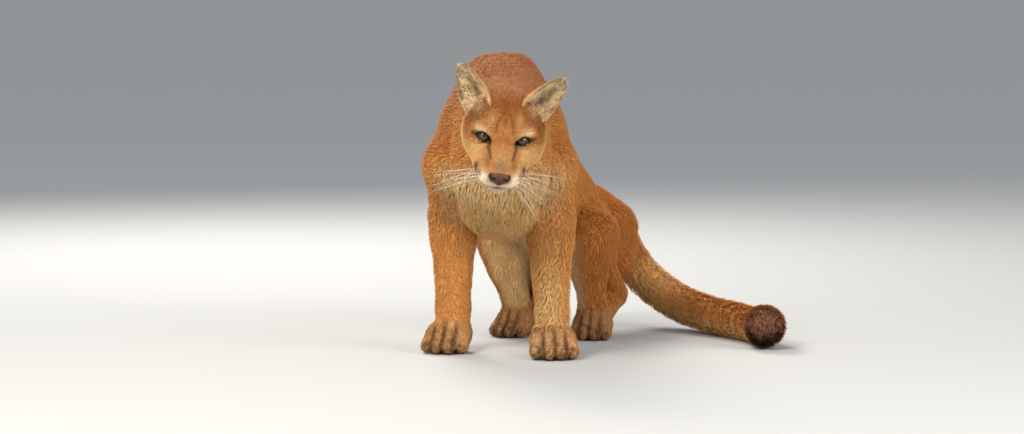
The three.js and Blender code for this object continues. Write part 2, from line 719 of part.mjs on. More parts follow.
// The origin is on the floor, under the middle of the whole animal.
const cougar = new THREE.Group();
for (const [name, solid] of Object.entries(solids)) {
  const { vertProperties, triVerts } = solid.getMesh();
  const geometry = new THREE.BufferGeometry();
  geometry.setAttribute("position", new THREE.BufferAttribute(new Float32Array(vertProperties), 3));
  geometry.setIndex(new THREE.BufferAttribute(new Uint32Array(triVerts), 1));
  geometry.translate(-middle.x, -middle.y, -whole.min.z);
  geometry.computeVertexNormals();
  const colour = COLOURS[name.split("_")[0]] ?? TAWNY;
  const material = new THREE.MeshStandardMaterial({ color: colour, roughness: 0.9, metalness: 0 });
  const mesh = new THREE.Mesh(geometry, material);
  mesh.name = name;
  cougar.add(mesh);
}

export default cougar;
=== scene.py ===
import bmesh
import bpy
import numpy as np
from mathutils import Matrix, Vector


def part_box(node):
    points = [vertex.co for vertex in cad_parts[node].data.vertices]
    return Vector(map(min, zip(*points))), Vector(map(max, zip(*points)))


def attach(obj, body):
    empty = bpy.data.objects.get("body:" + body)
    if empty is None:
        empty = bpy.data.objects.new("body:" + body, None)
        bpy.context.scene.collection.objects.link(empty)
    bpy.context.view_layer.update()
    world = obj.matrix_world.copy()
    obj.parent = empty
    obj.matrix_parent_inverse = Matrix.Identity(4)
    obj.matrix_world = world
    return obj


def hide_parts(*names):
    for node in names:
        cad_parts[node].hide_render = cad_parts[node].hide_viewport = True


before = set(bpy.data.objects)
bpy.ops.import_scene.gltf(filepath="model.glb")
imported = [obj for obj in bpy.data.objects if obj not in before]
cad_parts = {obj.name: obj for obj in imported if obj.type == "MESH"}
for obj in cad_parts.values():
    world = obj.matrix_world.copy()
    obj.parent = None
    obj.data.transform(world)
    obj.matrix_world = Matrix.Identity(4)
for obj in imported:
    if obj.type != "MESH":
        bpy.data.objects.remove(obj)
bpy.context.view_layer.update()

# Camera: a long lens a little above the animal's eye line, aimed low on the chest. The animal is
# sculpted in millimetres in the body frame, whose origin stands on the floor between the
# forelegs. SHIFT leads from there to the row frame, where the left eye shows the way.
EYE = np.array([44.76, -249.99, 465.31])
low, high = (np.array(corner) * 1000 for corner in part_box("eye_left"))
SHIFT = (low + high) / 2 - EYE
SHIFT[2] = 0.0


def placed(points):
    """Body frame millimetres to row frame metres."""
    return (np.asarray(points, float) + SHIFT) / 1000


ELEVATION = np.radians(4.0)
DISTANCE = 9000.0
forward = np.array([0, np.cos(ELEVATION), -np.sin(ELEVATION)])
upward = np.array([0, np.sin(ELEVATION), np.cos(ELEVATION)])
lens = bpy.data.cameras.new("camera")
lens.sensor_width = 36.0
MM_PER_PIXEL, PICTURE_WIDTH = 2.1, 1024
lens.lens = lens.sensor_width * DISTANCE / (MM_PER_PIXEL * PICTURE_WIDTH)
camera = bpy.data.objects.new("camera", lens)
bpy.context.scene.collection.objects.link(camera)
AIM_X, AIM_HEIGHT = 25, 290
camera.location = placed([AIM_X, 0, 0] + AIM_HEIGHT * upward - DISTANCE * forward)
camera.rotation_euler = (np.pi / 2 - ELEVATION, 0, 0)
bpy.context.scene.camera = camera

# Flesh: the muscles, limbs, paws and tail of a lean grown male. They are tapered cones and eggs
# that melt into each other as one distance function. Their radii reach to the tips of the coat,
# and the skin lies deeper by the coat's depth.


def turn(axis, degrees):
    return np.array(Matrix.Rotation(np.radians(degrees), 3, axis))


HEAD_AT = np.array([6.6, -252.0, 470.0])
HEAD_PITCH = 40
HEAD_TURN = turn("Y", 7) @ turn("Z", 3) @ turn("X", HEAD_PITCH)
PELVIS_AT = np.array([165.0, 548.0, 0.0])
PELVIS_TURN = turn("Z", -20)
NO_TURN = np.eye(3)
NOWHERE = np.zeros(3)
forms = []


def add(kind, values, blend, at=NOWHERE, turned=NO_TURN, carved=False):
    """One form: a cone (a, ra, b, rb) or an egg (centre, radii), in a frame of its own."""
    if kind == "cone":
        a, ra, b, rb = values
        a, b = np.array(a, float), np.array(b, float)
        centre = (a + b) / 2
        reach = np.linalg.norm(a - b) / 2 + max(ra, rb)
        values = (a, ra, b, rb)
    else:
        centre, radii = (np.array(v, float) for v in values)
        reach = radii.max()
        values = (centre, radii)
    middle = turned @ centre + at
    forms.append((kind, values, blend, at, turned, carved, middle, reach))


def bulk(centre, direction, radii, blend):
    """An egg whose second radius lies along a direction, and whose first stays level."""
    along = np.array(direction, float) / np.linalg.norm(direction)
    side = np.cross(along, (0, 0, 1))
    side /= np.linalg.norm(side)
    turned = np.column_stack([side, along, np.cross(side, along)])
    add("egg", ((0, 0, 0), radii), blend, np.array(centre, float), turned)


def distance(kind, values, p):
    """Signed distance from points to one cone or egg, in the form's own frame."""
    if kind == "egg":
        centre, radii = values
        q = (p - centre) / radii
        k0 = np.sqrt((q * q).sum(-1))
        k1 = np.sqrt(((q / radii) ** 2).sum(-1))
        return k0 * (k0 - 1) / np.maximum(k1, 1e-9)
    a, ra, b, rb = values
    d = b - a
    l2 = d @ d
    rr = ra - rb
    a2 = l2 - rr * rr
    q = p - a
    along = q @ d
    past = along - l2
    x2 = ((q * l2 - along[:, None] * d) ** 2).sum(-1)
    k = np.sign(rr) * rr * rr * x2
    side = (np.sqrt(x2 * a2 / l2) + along * rr) / l2 - ra
    at_b = np.sqrt(x2 + past * past * l2) / l2 - rb
    at_a = np.sqrt(x2 + along * along * l2) / l2 - ra
    out = np.where(np.sign(along) * a2 * along * along * l2 < k, at_a, side)
    return np.where(np.sign(past) * a2 * past * past * l2 > k, at_b, out)


def melt(f, d, blend, carved):
    """Two distances joined, or the second carved from the first, with a fillet."""
    other = -d if carved else d
    h = np.maximum(blend - np.abs(f - other), 0) / blend
    bulge = h * h * blend / 4
    return np.maximum(f, other) + bulge if carved else np.minimum(f, other) - bulge


def melt_all(p, listed, far=60.0):
    """The distance of the listed forms at points p, true near the surface, else about far."""
    f = np.full(len(p), far)
    for kind, values, blend, at, turned, carved, middle, reach in listed:
        near = ((p - middle) ** 2).sum(-1) < (reach + far * 0.7) ** 2
        if near.any():
            d = distance(kind, values, (p[near] - at) @ turned)
            f[near] = melt(f[near], d, blend, carved)
    return f


RIBS = (0.2, 0.97, -0.04)
LOIN = (0.36, 0.86, -0.36)
RUMP = (0.34, 0.9, -0.3)
bulk((20, 150, 425), RIBS, (126, 215, 165), 30)
bulk((5, 140, 538), RIBS, (68, 125, 92), 60)
bulk((0, 15, 330), RIBS, (92, 105, 92), 60)
bulk((72, 370, 364), LOIN, (92, 195, 114), 70)
bulk((76, 365, 285), LOIN, (84, 165, 90), 60)
bulk((130, 538, 280), RUMP, (88, 130, 94), 60)
bulk((180, 618, 232), RUMP, (74, 72, 82), 50)
add("cone", ((3, 45, 478), 118, (8, -145, 500), 78), 50)
bulk((0, -88, 392), (0, 1, -0.25), (108, 98, 104), 60)
trunk_count = len(forms)


def head(kind, values, blend, carved=False):
    """A form in the head's own frame, whose origin lies between the eyes."""
    add(kind, values, blend, HEAD_AT, HEAD_TURN, carved)


head("egg", ((0, 50, 6), (60, 68, 56)), 40)
head("egg", ((0, 8, 15), (46, 42, 28)), 26)
for side in (-1, 1):
    head("egg", ((side * 44, 26, -14), (39, 48, 38)), 30)
    head("egg", ((side * 37, 48, -44), (38, 48, 40)), 30)
    head("cone", ((side * 36, 0, -30), 32, (side * 27, -54, -38), 26), 26)
    head("cone", ((side * 16, -16, 16), 12, (side * 50, 2, 17), 13), 16)
for side in (-1, 1):
    head("cone", ((side * 9, -4, -4), 21, (side * 9, -78, -19), 14), 16)
head("cone", ((0, -20, -34), 38, (0, -66, -38), 32), 20)
for side in (-1, 1):
    head("egg", ((side * 22, -72, -40), (26, 27, 20)), 10)
head("cone", ((0, -30, -60), 26, (0, -74, -63), 20), 8)
for side in (-1, 1):
    head("egg", ((side * 39, -14, 7), (21, 14, 13)), 12, True)
head_count = len(forms)

# The four toes: how far across the paw each lies, and how far forward its tip.
TOES = ((-34, -70), (-12.5, -88), (12.5, -88), (34, -70))


def paw(x, y, yaw, size, blend):
    """A paw that points along -Y before its turn: the back of the foot, a pad and four toes."""
    turned = turn("Z", yaw)
    at = np.array([x, y, 0.0])
    for kind, values, k in (
        ("egg", ((0, -34, 34), (49, 46, 38)), blend),
        ("egg", ((0, -12, 15), (34, 30, 18)), 12),
    ):
        add(kind, tuple(tuple(v * size for v in part) for part in values), k, at, turned)
    for toe, tip in TOES:
        knuckle = (toe * 0.9 * size, (tip + 34) * size, 40 * size)
        end = (toe * 1.06 * size, tip * size, 16.5 * size)
        add("cone", (knuckle, 19 * size, end, 17.5 * size), 6, at, turned)


FORELEGS = ((1, (108, 66, 285), (108, -28, 92), 4), (-1, (-101, 122, 285), (-100, 96, 92), -14))
for side, elbow, wrist, yaw in FORELEGS:
    shoulder = (side * 96, 12, 398)
    flexor = (elbow[0] - side * 2, elbow[1] - 8, elbow[2] - 45)
    add("cone", ((side * 38, 150, 592), 30, shoulder, 62), 40)
    add("cone", (shoulder, 64, elbow, 50), 30)
    add("cone", ((elbow[0], elbow[1] + 34, elbow[2] + 14), 26, elbow, 40), 20)
    add("cone", (elbow, 50, flexor, 48), 20)
    add("cone", (flexor, 49, wrist, 38), 20)
    add("cone", (wrist, 36, (wrist[0], wrist[1] - 26, 52), 38), 16)
    paw(wrist[0], wrist[1], yaw, 1.0, 18)


def hip_point(x, y, z):
    """A point of the pelvis's own frame, which is turned with the haunches, in the body frame."""
    return PELVIS_TURN @ np.array([x, y, z], float) + PELVIS_AT


for side in (1, -1):
    knee = hip_point(side * 102, -208, 212)
    hock = hip_point(side * 90, -6, 86)
    shin = hip_point(side * 98, -150, 168)
    thigh = knee - hip_point(side * 62, 0, 255)
    bulk(hip_point(side * 76 - 6, -88, 194), thigh, (55, 160, 90), 34)
    add("cone", (hip_point(side * 60, 62, 225), 66, hip_point(side * 84, 22, 150), 48), 40)
    add("cone", (hip_point(side * 94, -150, 225), 60, knee, 46), 30)
    add("cone", (knee, 45, shin, 44), 20)
    add("cone", (shin, 44, hock, 32), 16)
    add("cone", (hock, 31, hip_point(side * 90, 6, 92), 24), 10)
    add("cone", (hock, 32, hip_point(side * 86 + 12, -158, 42), 36), 12)
    add("cone", (knee, 40, hip_point(side * 88 + 10, -166, 72), 34), 20)
    foot = hip_point(side * 86 + 12, -142, 0)
    paw(foot[0], foot[1], -20 + side * 8, 0.9, 14)


# Where the paws stand, forelegs first: x, y, the turn and the size.
PAWS = (
    (108, -28, 4, 1.0), (-100, 96, -14, 1.0), (*hip_point(98, -142, 0)[:2], -12, 0.9),
    (*hip_point(-74, -142, 0)[:2], -28, 0.9),
)

# The tail's line from root to tip, with its radius at each point.
TAIL = np.array([
    (200, 618, 258, 54), (256, 660, 190, 48), (322, 644, 112, 45), (390, 570, 64, 44),
    (455, 469, 45, 43), (512, 362, 40, 42), (552, 257, 38, 40), (566, 172, 46, 48),
    (561, 122, 46, 45),
], float)


def tail_at(t):
    """Centre and radius a fraction t along the tail, on a centripetal curve."""
    last = len(TAIL) - 1
    i = min(int(t * last), last - 1)
    u = t * last - i
    ahead = TAIL[i + 2] if i + 2 <= last else 2 * TAIL[last] - TAIL[last - 1]
    behind = TAIL[i - 1] if i else 2 * TAIL[0] - TAIL[1]
    four = [behind[:3], TAIL[i, :3], TAIL[i + 1, :3], ahead[:3]]
    s0, s1, s2 = (np.sqrt(np.linalg.norm(four[n + 1] - four[n])) for n in range(3))
    m1 = (four[1] - four[0]) / s0 - (four[2] - four[0]) / (s0 + s1) + (four[2] - four[1]) / s1
    m2 = (four[2] - four[1]) / s1 - (four[3] - four[1]) / (s1 + s2) + (four[3] - four[2]) / s2
    m1, m2 = m1 * s1, m2 * s1
    p, q = four[1], four[2]
    centre = p + m1 * u + (3 * (q - p) - 2 * m1 - m2) * u**2 + (2 * (p - q) + m1 + m2) * u**3
    return centre, TAIL[i, 3] + (TAIL[i + 1, 3] - TAIL[i, 3]) * u


TAIL_STEPS = 24
tail_line = np.array([tail_at(n / TAIL_STEPS)[0] for n in range(TAIL_STEPS + 1)])
for n in range(TAIL_STEPS):
    (a, ra), (b, rb) = tail_at(n / TAIL_STEPS), tail_at((n + 1) / TAIL_STEPS)
    add("cone", (a, ra, b, rb), 30 if n < 4 else 8)

# Places on the animal: the head's own frame, the almond between the lids, soft spots and soft
# steps. They steer the coat's depth, its lie and its markings alike.

GAZE = np.array([0, -np.cos(np.radians(HEAD_PITCH)), np.sin(np.radians(HEAD_PITCH))])
EYE_SPACING, EYE_RADIUS = 77.0, 17.9
LID_SLANT = np.radians(5)
SLIT_LENGTH, SLIT_ABOVE, SLIT_BELOW = 16.0, 7.0, 9.0


def in_head(p):
    return (p - HEAD_AT) @ HEAD_TURN


def from_head(p):
    return np.asarray(p, float) @ HEAD_TURN.T + HEAD_AT


def spot(q, centre, radii):
    """1 at a centre, fading to 0 over three radii."""
    return np.exp(-(((q - np.array(centre, float)) / np.array(radii, float)) ** 2).sum(-1))


def step(value, start, end):
    """0 at start, 1 at end, smooth between."""
    u = np.clip((value - start) / (end - start), 0, 1)
    return u * u * (3 - 2 * u)


def slit(h, side):
    """Signed distance to the almond between the lids, and distance from the eye's middle."""
    q = h - np.array([side * EYE_SPACING / 2, 0, 0])
    gaze = np.array([side * 0.1, GAZE[1], GAZE[2]])
    gaze /= np.linalg.norm(gaze)
    out = np.array([side, 0, 0]) - gaze * side * gaze[0]
    out /= np.linalg.norm(out)
    up = np.cross(out, gaze) * -side
    along = out * np.cos(LID_SLANT) + up * np.sin(LID_SLANT)
    over = up * np.cos(LID_SLANT) - out * np.sin(LID_SLANT)
    s, t, g = q @ along, q @ over, q @ gaze
    above = (SLIT_LENGTH**2 + SLIT_ABOVE**2) / (2 * SLIT_ABOVE)
    below = (SLIT_LENGTH**2 + SLIT_BELOW**2) / (2 * SLIT_BELOW)
    arcs = np.maximum(
        np.hypot(s, t - SLIT_ABOVE + above) - above, np.hypot(s, t + SLIT_BELOW - below) - below
    )
    return np.maximum(arcs, -g), np.sqrt((q * q).sum(-1))


def tail_place(p):
    """How far along the tail the nearest point of its line is, 0 to 1, and its distance."""
    gaps = np.linalg.norm(p[:, None, :] - tail_line[None, ::2], axis=-1)
    nearest = gaps.argmin(1)
    return nearest / (len(tail_line[::2]) - 1), gaps.min(1)


def zones(p):
    """Soft masks, 0 to 1, that most of the coat's measures are mixed from."""
    h = in_head(p)
    x, y, z = p.T
    z_head = step(np.linalg.norm((h - (0, 2, -8)) / (98, 125, 86), axis=1), 1.16, 0.94)
    z_face = step(h[:, 1], 45, 5) * z_head
    z_muzzle = step(h[:, 1], -22, -58) * z_head
    along, gap = tail_place(p)
    z_tail = step(along, 0.13, 0.22) * step(gap, 72, 60) * (x > 215)
    z_throat = step(y, 40, -50) * step(abs(x), 150, 105) * step(z, 425, 365) * (1 - z_head)
    z_leg = step(z, 300, 215) * (1 - z_tail) * (1 - step(abs(x), 60, 30) * step(z, 200, 260))
    z_paw = step(z, 78, 52) * (1 - z_tail)
    return h, z_head, z_face, z_muzzle, z_tail, along, z_throat, z_leg, z_paw


def toward(a, b, t):
    return a + (b - a) * t


def mix(a, b, t):
    """Colours, single or one for each point, mixed by one amount or one for each point."""
    a, b = np.asarray(a, float), np.asarray(b, float)
    return a + (b - a) * np.asarray(t)[..., None]


def coat_depth(p):
    """How deep the skin lies under the tips of the coat."""
    h, z_head, z_face, z_muzzle, z_tail, along, z_throat, z_leg, z_paw = zones(p)
    depth = np.full(len(p), 7.0)
    depth = toward(depth, 5.0, z_leg)
    depth = toward(depth, 15.0, z_throat)
    depth = toward(depth, 10.0, z_tail)
    depth = toward(depth, 14.0, z_tail * step(along, 0.85, 0.95))
    depth = toward(depth, 5.0, z_head)
    depth = toward(depth, 2.6, z_face)
    depth = toward(depth, 1.4, z_muzzle)
    return toward(depth, 3.0, z_paw)


# The mouth follows the skin round the muzzle, under the whisker pads.
head_forms = forms[trunk_count:head_count]
mouth = []
for n in range(-8, 9):
    angle = np.radians(n * 8.2)
    out = np.array([np.sin(angle), -np.cos(angle), 0])
    start = np.array([0, -38, -52 + 21 * abs(n / 8) ** 1.6])
    reach = 20.0
    for _ in range(10):
        reach -= melt_all(from_head([start + out * reach]), head_forms)[0]
    mouth.append(start + out * (reach - 1.2))
mouth = np.array(mouth)


def to_line(q, line):
    """Distance from points to a chain of segments."""
    best = np.full(len(q), 1e9)
    for a, b in zip(line[:-1], line[1:]):
        u = np.clip(((q - a) @ (b - a)) / ((b - a) @ (b - a)), 0, 1)
        best = np.minimum(best, np.linalg.norm(q - a - u[:, None] * (b - a), axis=1))
    return best


def skin_distance(p):
    """The skin: the flesh less the coat's depth, with lids, mouth and the folds of the face."""
    f = melt_all(p, forms) + coat_depth(p)
    h = in_head(p)
    near = np.linalg.norm(h - (0, -20, -10), axis=1) < 110
    if near.any():
        q, g = h[near], f[near]
        g = melt(g, to_line(q, np.array([(0, -100, -38), (0, -97, -52)])) - 1.4, 2.5, True)
        for side in (-1, 1):
            gap, r = slit(q, side)
            chin = to_line(q, np.array([(0, -68, -60), (side * 21, -64, -58)])) - 13.5
            g = melt(g, chin, 8, False)
            g = melt(g, np.maximum(r - 20.6, -gap), 4, False)
            brow = np.array([(side * 20, -17, 21), (side * 36, -12, 25), (side * 52, -2, 20)])
            g = melt(g, to_line(q, brow) - 3.5, 8, False)
            g = np.maximum(g, -np.maximum(gap, r - 40))
            g = np.maximum(g, 17.2 - r)
            fold = np.array([(side * 24, -36, -20), (side * 34, -62, -30), (side * 40, -58, -46)])
            g = melt(g, to_line(q, fold) - 1.2, 6, True)
        g = melt(g, to_line(q, mouth) - 2.2, 2.5, True)
        cheek = (np.linalg.norm((q - (60, 10, -32)) / (26, 36, 28), axis=1) - 1) * 26 + 4
        g = melt(g, cheek, 16, False)
        f[near] = g
    return f


# Skin: the short-haired hide over the whole body, one closed mesh with no seam. A grid of cells
# gives one corner for each cell that the surface crosses. The face and the paws are divided finer,
# and every corner is then drawn onto the surface.

CELL, SOLE_HEIGHT = 7.0, 0.4
bottom = np.array([-175.0, -372.0, -12.0])
top = np.array([640.0, 735.0, 650.0])
count = np.ceil((top - bottom) / CELL).astype(int) + 1
grid_axes = [bottom[n] + CELL * np.arange(count[n]) for n in range(3)]
coarse = np.stack(np.meshgrid(*grid_axes, indexing="ij"), -1).reshape(-1, 3)
values = melt_all(coarse, forms)
band = np.abs(values) < 40
values[band] = skin_distance(coarse[band])
values = np.maximum(values, SOLE_HEIGHT - coarse[:, 2]).reshape(count)
inside = values < 0
corner_sum = np.zeros(tuple(count - 1) + (3,))
corner_hits = np.zeros(tuple(count - 1))
nodes_at = coarse.reshape(tuple(count) + (3,))
offsets = [(0, 0), (1, 0), (1, 1), (0, 1)]
crossings = []
for axis in range(3):
    u, v = [n for n in range(3) if n != axis]
    first = [slice(None)] * 3
    second = [slice(None)] * 3
    first[axis], second[axis] = slice(0, -1), slice(1, None)
    first, second = tuple(first), tuple(second)
    cross = inside[first] != inside[second]
    where = np.argwhere(cross)
    a, b = values[first][cross], values[second][cross]
    point = nodes_at[first][cross].copy()
    point[:, axis] += CELL * a / (a - b)
    crossings.append((axis, u, v, where, inside[first][cross]))
    for du, dv in offsets:
        cell = where.copy()
        cell[:, u] -= du
        cell[:, v] -= dv
        ok = (cell >= 0).all(1) & (cell < count - 1).all(1)
        np.add.at(corner_sum, tuple(cell[ok].T), point[ok])
        np.add.at(corner_hits, tuple(cell[ok].T), 1)
used = corner_hits > 0
number = np.full(corner_hits.shape, -1)
number[used] = np.arange(used.sum())
points = corner_sum[used] / corner_hits[used][:, None]
faces = []
for axis, u, v, where, starts_inside in crossings:
    ring = []
    for du, dv in offsets:
        cell = where.copy()
        cell[:, u] -= du
        cell[:, v] -= dv
        ring.append(number[tuple(cell.T)])
    ring = np.stack(ring, 1)
    flip = starts_inside if axis != 1 else ~starts_inside
    ring[flip] = ring[flip][:, ::-1]
    faces.append(ring)
faces = np.concatenate(faces)


def unit(rows):
    """Each row scaled to length one."""
    return rows / np.maximum(np.linalg.norm(rows, axis=1), 1e-9)[:, None]


def slope(p, width):
    """Outward direction of the skin at p, found from four samples round it."""
    corners = np.array([(1, 1, 1), (1, -1, -1), (-1, 1, -1), (-1, -1, 1)], float)
    total = np.zeros_like(p)
    for corner in corners:
        total += corner * skin_distance(p + corner * width)[:, None]
    return unit(total)


def settle(p, rounds, width):
    """Points drawn onto the skin along its outward direction, and kept above the floor."""
    for _ in range(rounds):
        gap = np.clip(skin_distance(p), -CELL, CELL)
        p = p - slope(p, width) * gap[:, None]
    p[:, 2] = np.maximum(p[:, 2], SOLE_HEIGHT)
    return p


points = settle(points, 2, 2.0)
net = bmesh.new()
corners = [net.verts.new(p) for p in points]
for face in faces:
    net.faces.new([corners[n] for n in face])
bmesh.ops.recalc_face_normals(net, faces=net.faces)


def divide(chosen):
    """Cut every edge between chosen corners in two, and settle the new corners."""
    at = np.array([vert.co for vert in net.verts])
    flags = chosen(at)
    net.verts.index_update()
    edges = [e for e in net.edges if flags[e.verts[0].index] and flags[e.verts[1].index]]
    bmesh.ops.subdivide_edges(net, edges=edges, cuts=1, use_grid_fill=True)
    net.verts.index_update()
    net.verts.ensure_lookup_table()
    at = np.array([vert.co for vert in net.verts])
    moved = chosen(at)
    at[moved] = settle(at[moved], 2, 1.0)
    for n in np.nonzero(moved)[0]:
        net.verts[n].co = at[n]


def detailed(p):
    h = in_head(p)
    face = (np.linalg.norm(h - (0, -10, -10), axis=1) < 112) & (h[:, 1] < 50)
    return face | (p[:, 2] < 70) & (p[:, 0] < 300) & (p[:, 2] > 1.5)


def finest(p):
    h = in_head(p)
    eyes = np.minimum(*(np.linalg.norm(h - (s * 38, -8, 4), axis=1) for s in (-1, 1))) < 29
    return eyes | (np.linalg.norm(h - (0, -84, -42), axis=1) < 40) & (h[:, 1] < -50)


net.verts.ensure_lookup_table()
divide(detailed)
net.verts.ensure_lookup_table()
divide(finest)
net.verts.ensure_lookup_table()
bmesh.ops.triangulate(net, faces=net.faces)
net.verts.index_update()
skin_points = np.array([vert.co for vert in net.verts])
skin_faces = np.array([[vert.index for vert in face.verts] for face in net.faces])
net.free()

# Markings: rufous above, gold on the legs, cream below, a dark end to the tail, and the face's
# own marks. Linear colours, mixed by the soft masks. The skin and the tufts both ask for them here.

RUFOUS, GOLD, TAN = (0.46, 0.16, 0.036), (0.69, 0.31, 0.085), (0.62, 0.32, 0.125)
BUFF, CREAM, WHITE = (0.76, 0.49, 0.20), (0.84, 0.62, 0.34), (0.90, 0.76, 0.56)
RUSSET, UMBER, DARK = (0.34, 0.095, 0.014), (0.11, 0.045, 0.02), (0.022, 0.014, 0.01)
GREY = (0.20, 0.16, 0.115)


def ripple(p, scale, seed):
    """Cheap smooth noise, -1 to 1, from a few crossed waves."""
    waves = unit(np.random.default_rng(seed).normal(size=(7, 3)))
    phases = np.random.default_rng(seed + 1).uniform(0, 6.28, 7)
    total = np.zeros(len(p))
    for n, (wave, phase) in enumerate(zip(waves, phases)):
        total += np.sin(p @ wave * (6.28 / scale) * (1 + 0.23 * n) + phase)
    return total / 3.5


def markings(p, n):
    """The colour at points p of the skin, whose outward directions are n."""
    h, z_head, z_face, z_muzzle, z_tail, along, z_throat, z_leg, z_paw = zones(p)
    x, y, z = p.T
    hx, hy, hz = h.T
    ax = np.abs(hx)
    mottle = ripple(p, 70, 3) * 0.5 + ripple(p, 19, 5) * 0.5
    c = mix(GOLD, RUFOUS, step(n[:, 2] + 0.25 * mottle, -0.25, 0.75))
    c = mix(c, (0.30, 0.125, 0.055), 0.7 * step(z + 30 * mottle, 450, 590))
    fore = step(y, 260, 180)
    c = mix(c, GOLD, 0.8 * z_leg * fore)
    c = mix(c, RUFOUS, 0.8 * z_leg * (1 - fore))
    c = mix(c, TAN, 0.3 * z_leg * step(z, 110, 60) * fore)
    under = step(-n[:, 2], 0.1, 0.75) * step(y, -20, 60) * (1 - z_paw) * (1 - z_tail)
    across = ((p - PELVIS_AT) @ PELVIS_TURN)[:, 0]
    under = under * step(np.abs(across), 120, 60)
    inward = -(n @ PELVIS_TURN)[:, 0] * np.sign(across) - 0.35 * np.sign(across)
    inner = step(inward, -0.5, 0.3) * step(z, 330, 270) * step(y, 140, 220) * (1 - z_tail)
    inner = inner * step(n[:, 2], 0.4, 0.1)
    c = mix(c, mix(BUFF, CREAM, 0.3), 0.9 * np.maximum(under, inner * (1 - z_paw)))
    throat = z_throat * step(-n[:, 1] - 0.3 * n[:, 2], -0.1, 0.6)
    c = mix(c, BUFF, 0.95 * throat)
    c = mix(c, CREAM, 0.55 * throat * step(z, 300, 390))
    tail = mix(mix(BUFF, RUFOUS, step(n[:, 2], -0.5, 0.4) * step(along, 0.3, 0.5)), GOLD, 0.5)
    tail = mix(tail, RUSSET, 0.5 * step(along, 0.72, 0.9))
    tip = along - 0.07 * n[:, 2] + 0.03 * mottle
    tail = mix(tail, (0.27, 0.125, 0.075), 0.85 * step(along, 0.88, 0.93))
    tail = mix(tail, (0.035, 0.018, 0.012), 0.9 * step(tip, 0.91, 0.98) * step(z, 62, 28))
    c = mix(c, tail, z_tail)
    c = mix(c, (0.52, 0.29, 0.13), 0.7 * z_paw)
    toes = spot(np.stack([z], 1), (8,), (14,)) * z_paw
    c = mix(c, UMBER, 0.6 * toes * step(ripple(p, 13, 9), 0.0, 0.7))
    for centre_x, centre_y, yaw, size in PAWS:
        q = (p - (centre_x, centre_y, 0)) @ turn("Z", yaw) / size
        # Dark lines along the gaps between the toes: painted shade in the creases.
        for gap in (-23, 0, 23):
            cleft_shade = np.exp(-(((q[:, 0] - gap) / 4.6) ** 2)) * step(q[:, 1], -48, -66)
            c = mix(c, UMBER, 0.85 * cleft_shade * step(q[:, 1], -130, -100) * z_paw)
        front = step(q[:, 1], -66, -84) * step(ripple(p, 15, 9), -0.3, 0.6)
        c = mix(c, UMBER, 0.7 * front * z_paw * step(abs(q[:, 0]), 60, 50) * step(q[:, 1], -130, -100))
    c = mix(c, DARK, 0.9 * z_paw * step(-n[:, 2], 0.75, 0.95) * step(z, 6, 2))

    ruddy = np.clip(0.3 + 0.5 * step(hy, -25, 35) + 0.15 * mottle, 0, 1)
    face = mix(GOLD, RUSSET, ruddy) * (0.84, 0.86, 1.0)
    face = mix(face, UMBER, 0.36 * step(ripple(h, 11, 57), -0.1, 0.8) * step(hy, -45, -10))
    q = np.stack([ax, hy, hz], 1)
    face = mix(face, GREY, 0.45 * spot(q, (54, 38, 26), (14, 22, 14)) * step(mottle, -0.6, 0.5))
    face = mix(face, BUFF, 0.7 * step(hz, 5, -30) * step(ax, 26, 50))
    face = mix(face, RUSSET, 0.35 * spot(q, (30, 4, 34), (8, 10, 10)))
    stripe = np.exp(-((hx / (5 + 0.10 * np.abs(hy))) ** 2)) * step(hy, -22, 2)
    face = mix(face, RUSSET, 0.75 * stripe)
    face = mix(face, UMBER, 0.35 * stripe * step(mottle, -0.4, 0.6))
    for colour, strength, centre, radii in (
        (CREAM, 0.95, (45, -11, 24), (17, 14, 7)),
        (BUFF, 0.35, (29, 6, 44), (9, 20, 14)),
        (BUFF, 0.6, (48, -26, -14), (18, 16, 12)),
        ((0.46, 0.25, 0.11), 0.85, (0, -62, 0), (19, 32, 14)),
        (UMBER, 0.4, (27, -66, -8), (5, 16, 8)),
        ((0.26, 0.16, 0.09), 0.75, (0, -86, -6), (17, 18, 9)),
        (CREAM, 0.7, (56, 46, 32), (16, 12, 11)),
    ):
        face = mix(face, colour, strength * spot(q, centre, radii))
    face = mix(face, WHITE, 0.98 * np.minimum(1.4 * spot(q, (20, -92, -45), (19, 22, 13)), 1))
    face = mix(face, WHITE, 0.9 * spot(q, (32, -74, -50), (16, 22, 10)))
    face = mix(face, WHITE, 0.95 * np.minimum(1.3 * spot(q, (32, -88, -31), (13, 17, 9)), 1))
    rows = np.exp(-(((ripple(h * (0.4, 0.4, 1), 7, 61) - 0.4) / 0.25) ** 2))
    face = mix(face, UMBER, 0.5 * rows * spot(q, (36, -84, -32), (12, 16, 9)))
    face = mix(face, DARK, 0.95 * spot(q, (49, -62, -29), (8, 10, 13)))
    face = mix(face, DARK, 0.7 * spot(q, (41, -78, -30), (5, 9, 6)))
    face = mix(face, WHITE, 0.9 * step(hz, -54, -62) * step(hy, -10, -45))
    face = mix(face, DARK, 0.97 * np.exp(-((to_line(h, mouth) / 3.4) ** 4)))
    # Dark skin behind each nostril: painted shade, seen through the nostril hollow.
    face = mix(face, DARK, 0.95 * np.minimum(1.5 * spot(q, (13, -94, -27), (9, 12, 8)), 1))
    for side in (-1, 1):
        gap, r = slit(h, side)
        ring = np.exp(-((np.maximum(gap, 0) / 3.0) ** 2)) * (r < 32)
        face = mix(face, DARK, 0.96 * ring)
        tear = np.array([(25, -8, -5), (26, -30, 1), (25, -46, 0), (22, -64, -3)]) * (side, 1, 1)
        wide = 2.4 + 4.6 * step(hy, -56, -22)
        face = mix(face, UMBER, 0.95 * np.exp(-((to_line(h, tear) / wide) ** 2)))
        bag = spot(h, (side * 36, -26, -8), (12, 8, 6))
        face = mix(face, CREAM, 0.55 * bag)
        outer = np.array([(side * 52, -10, 5), (side * 62, -4, 9)])
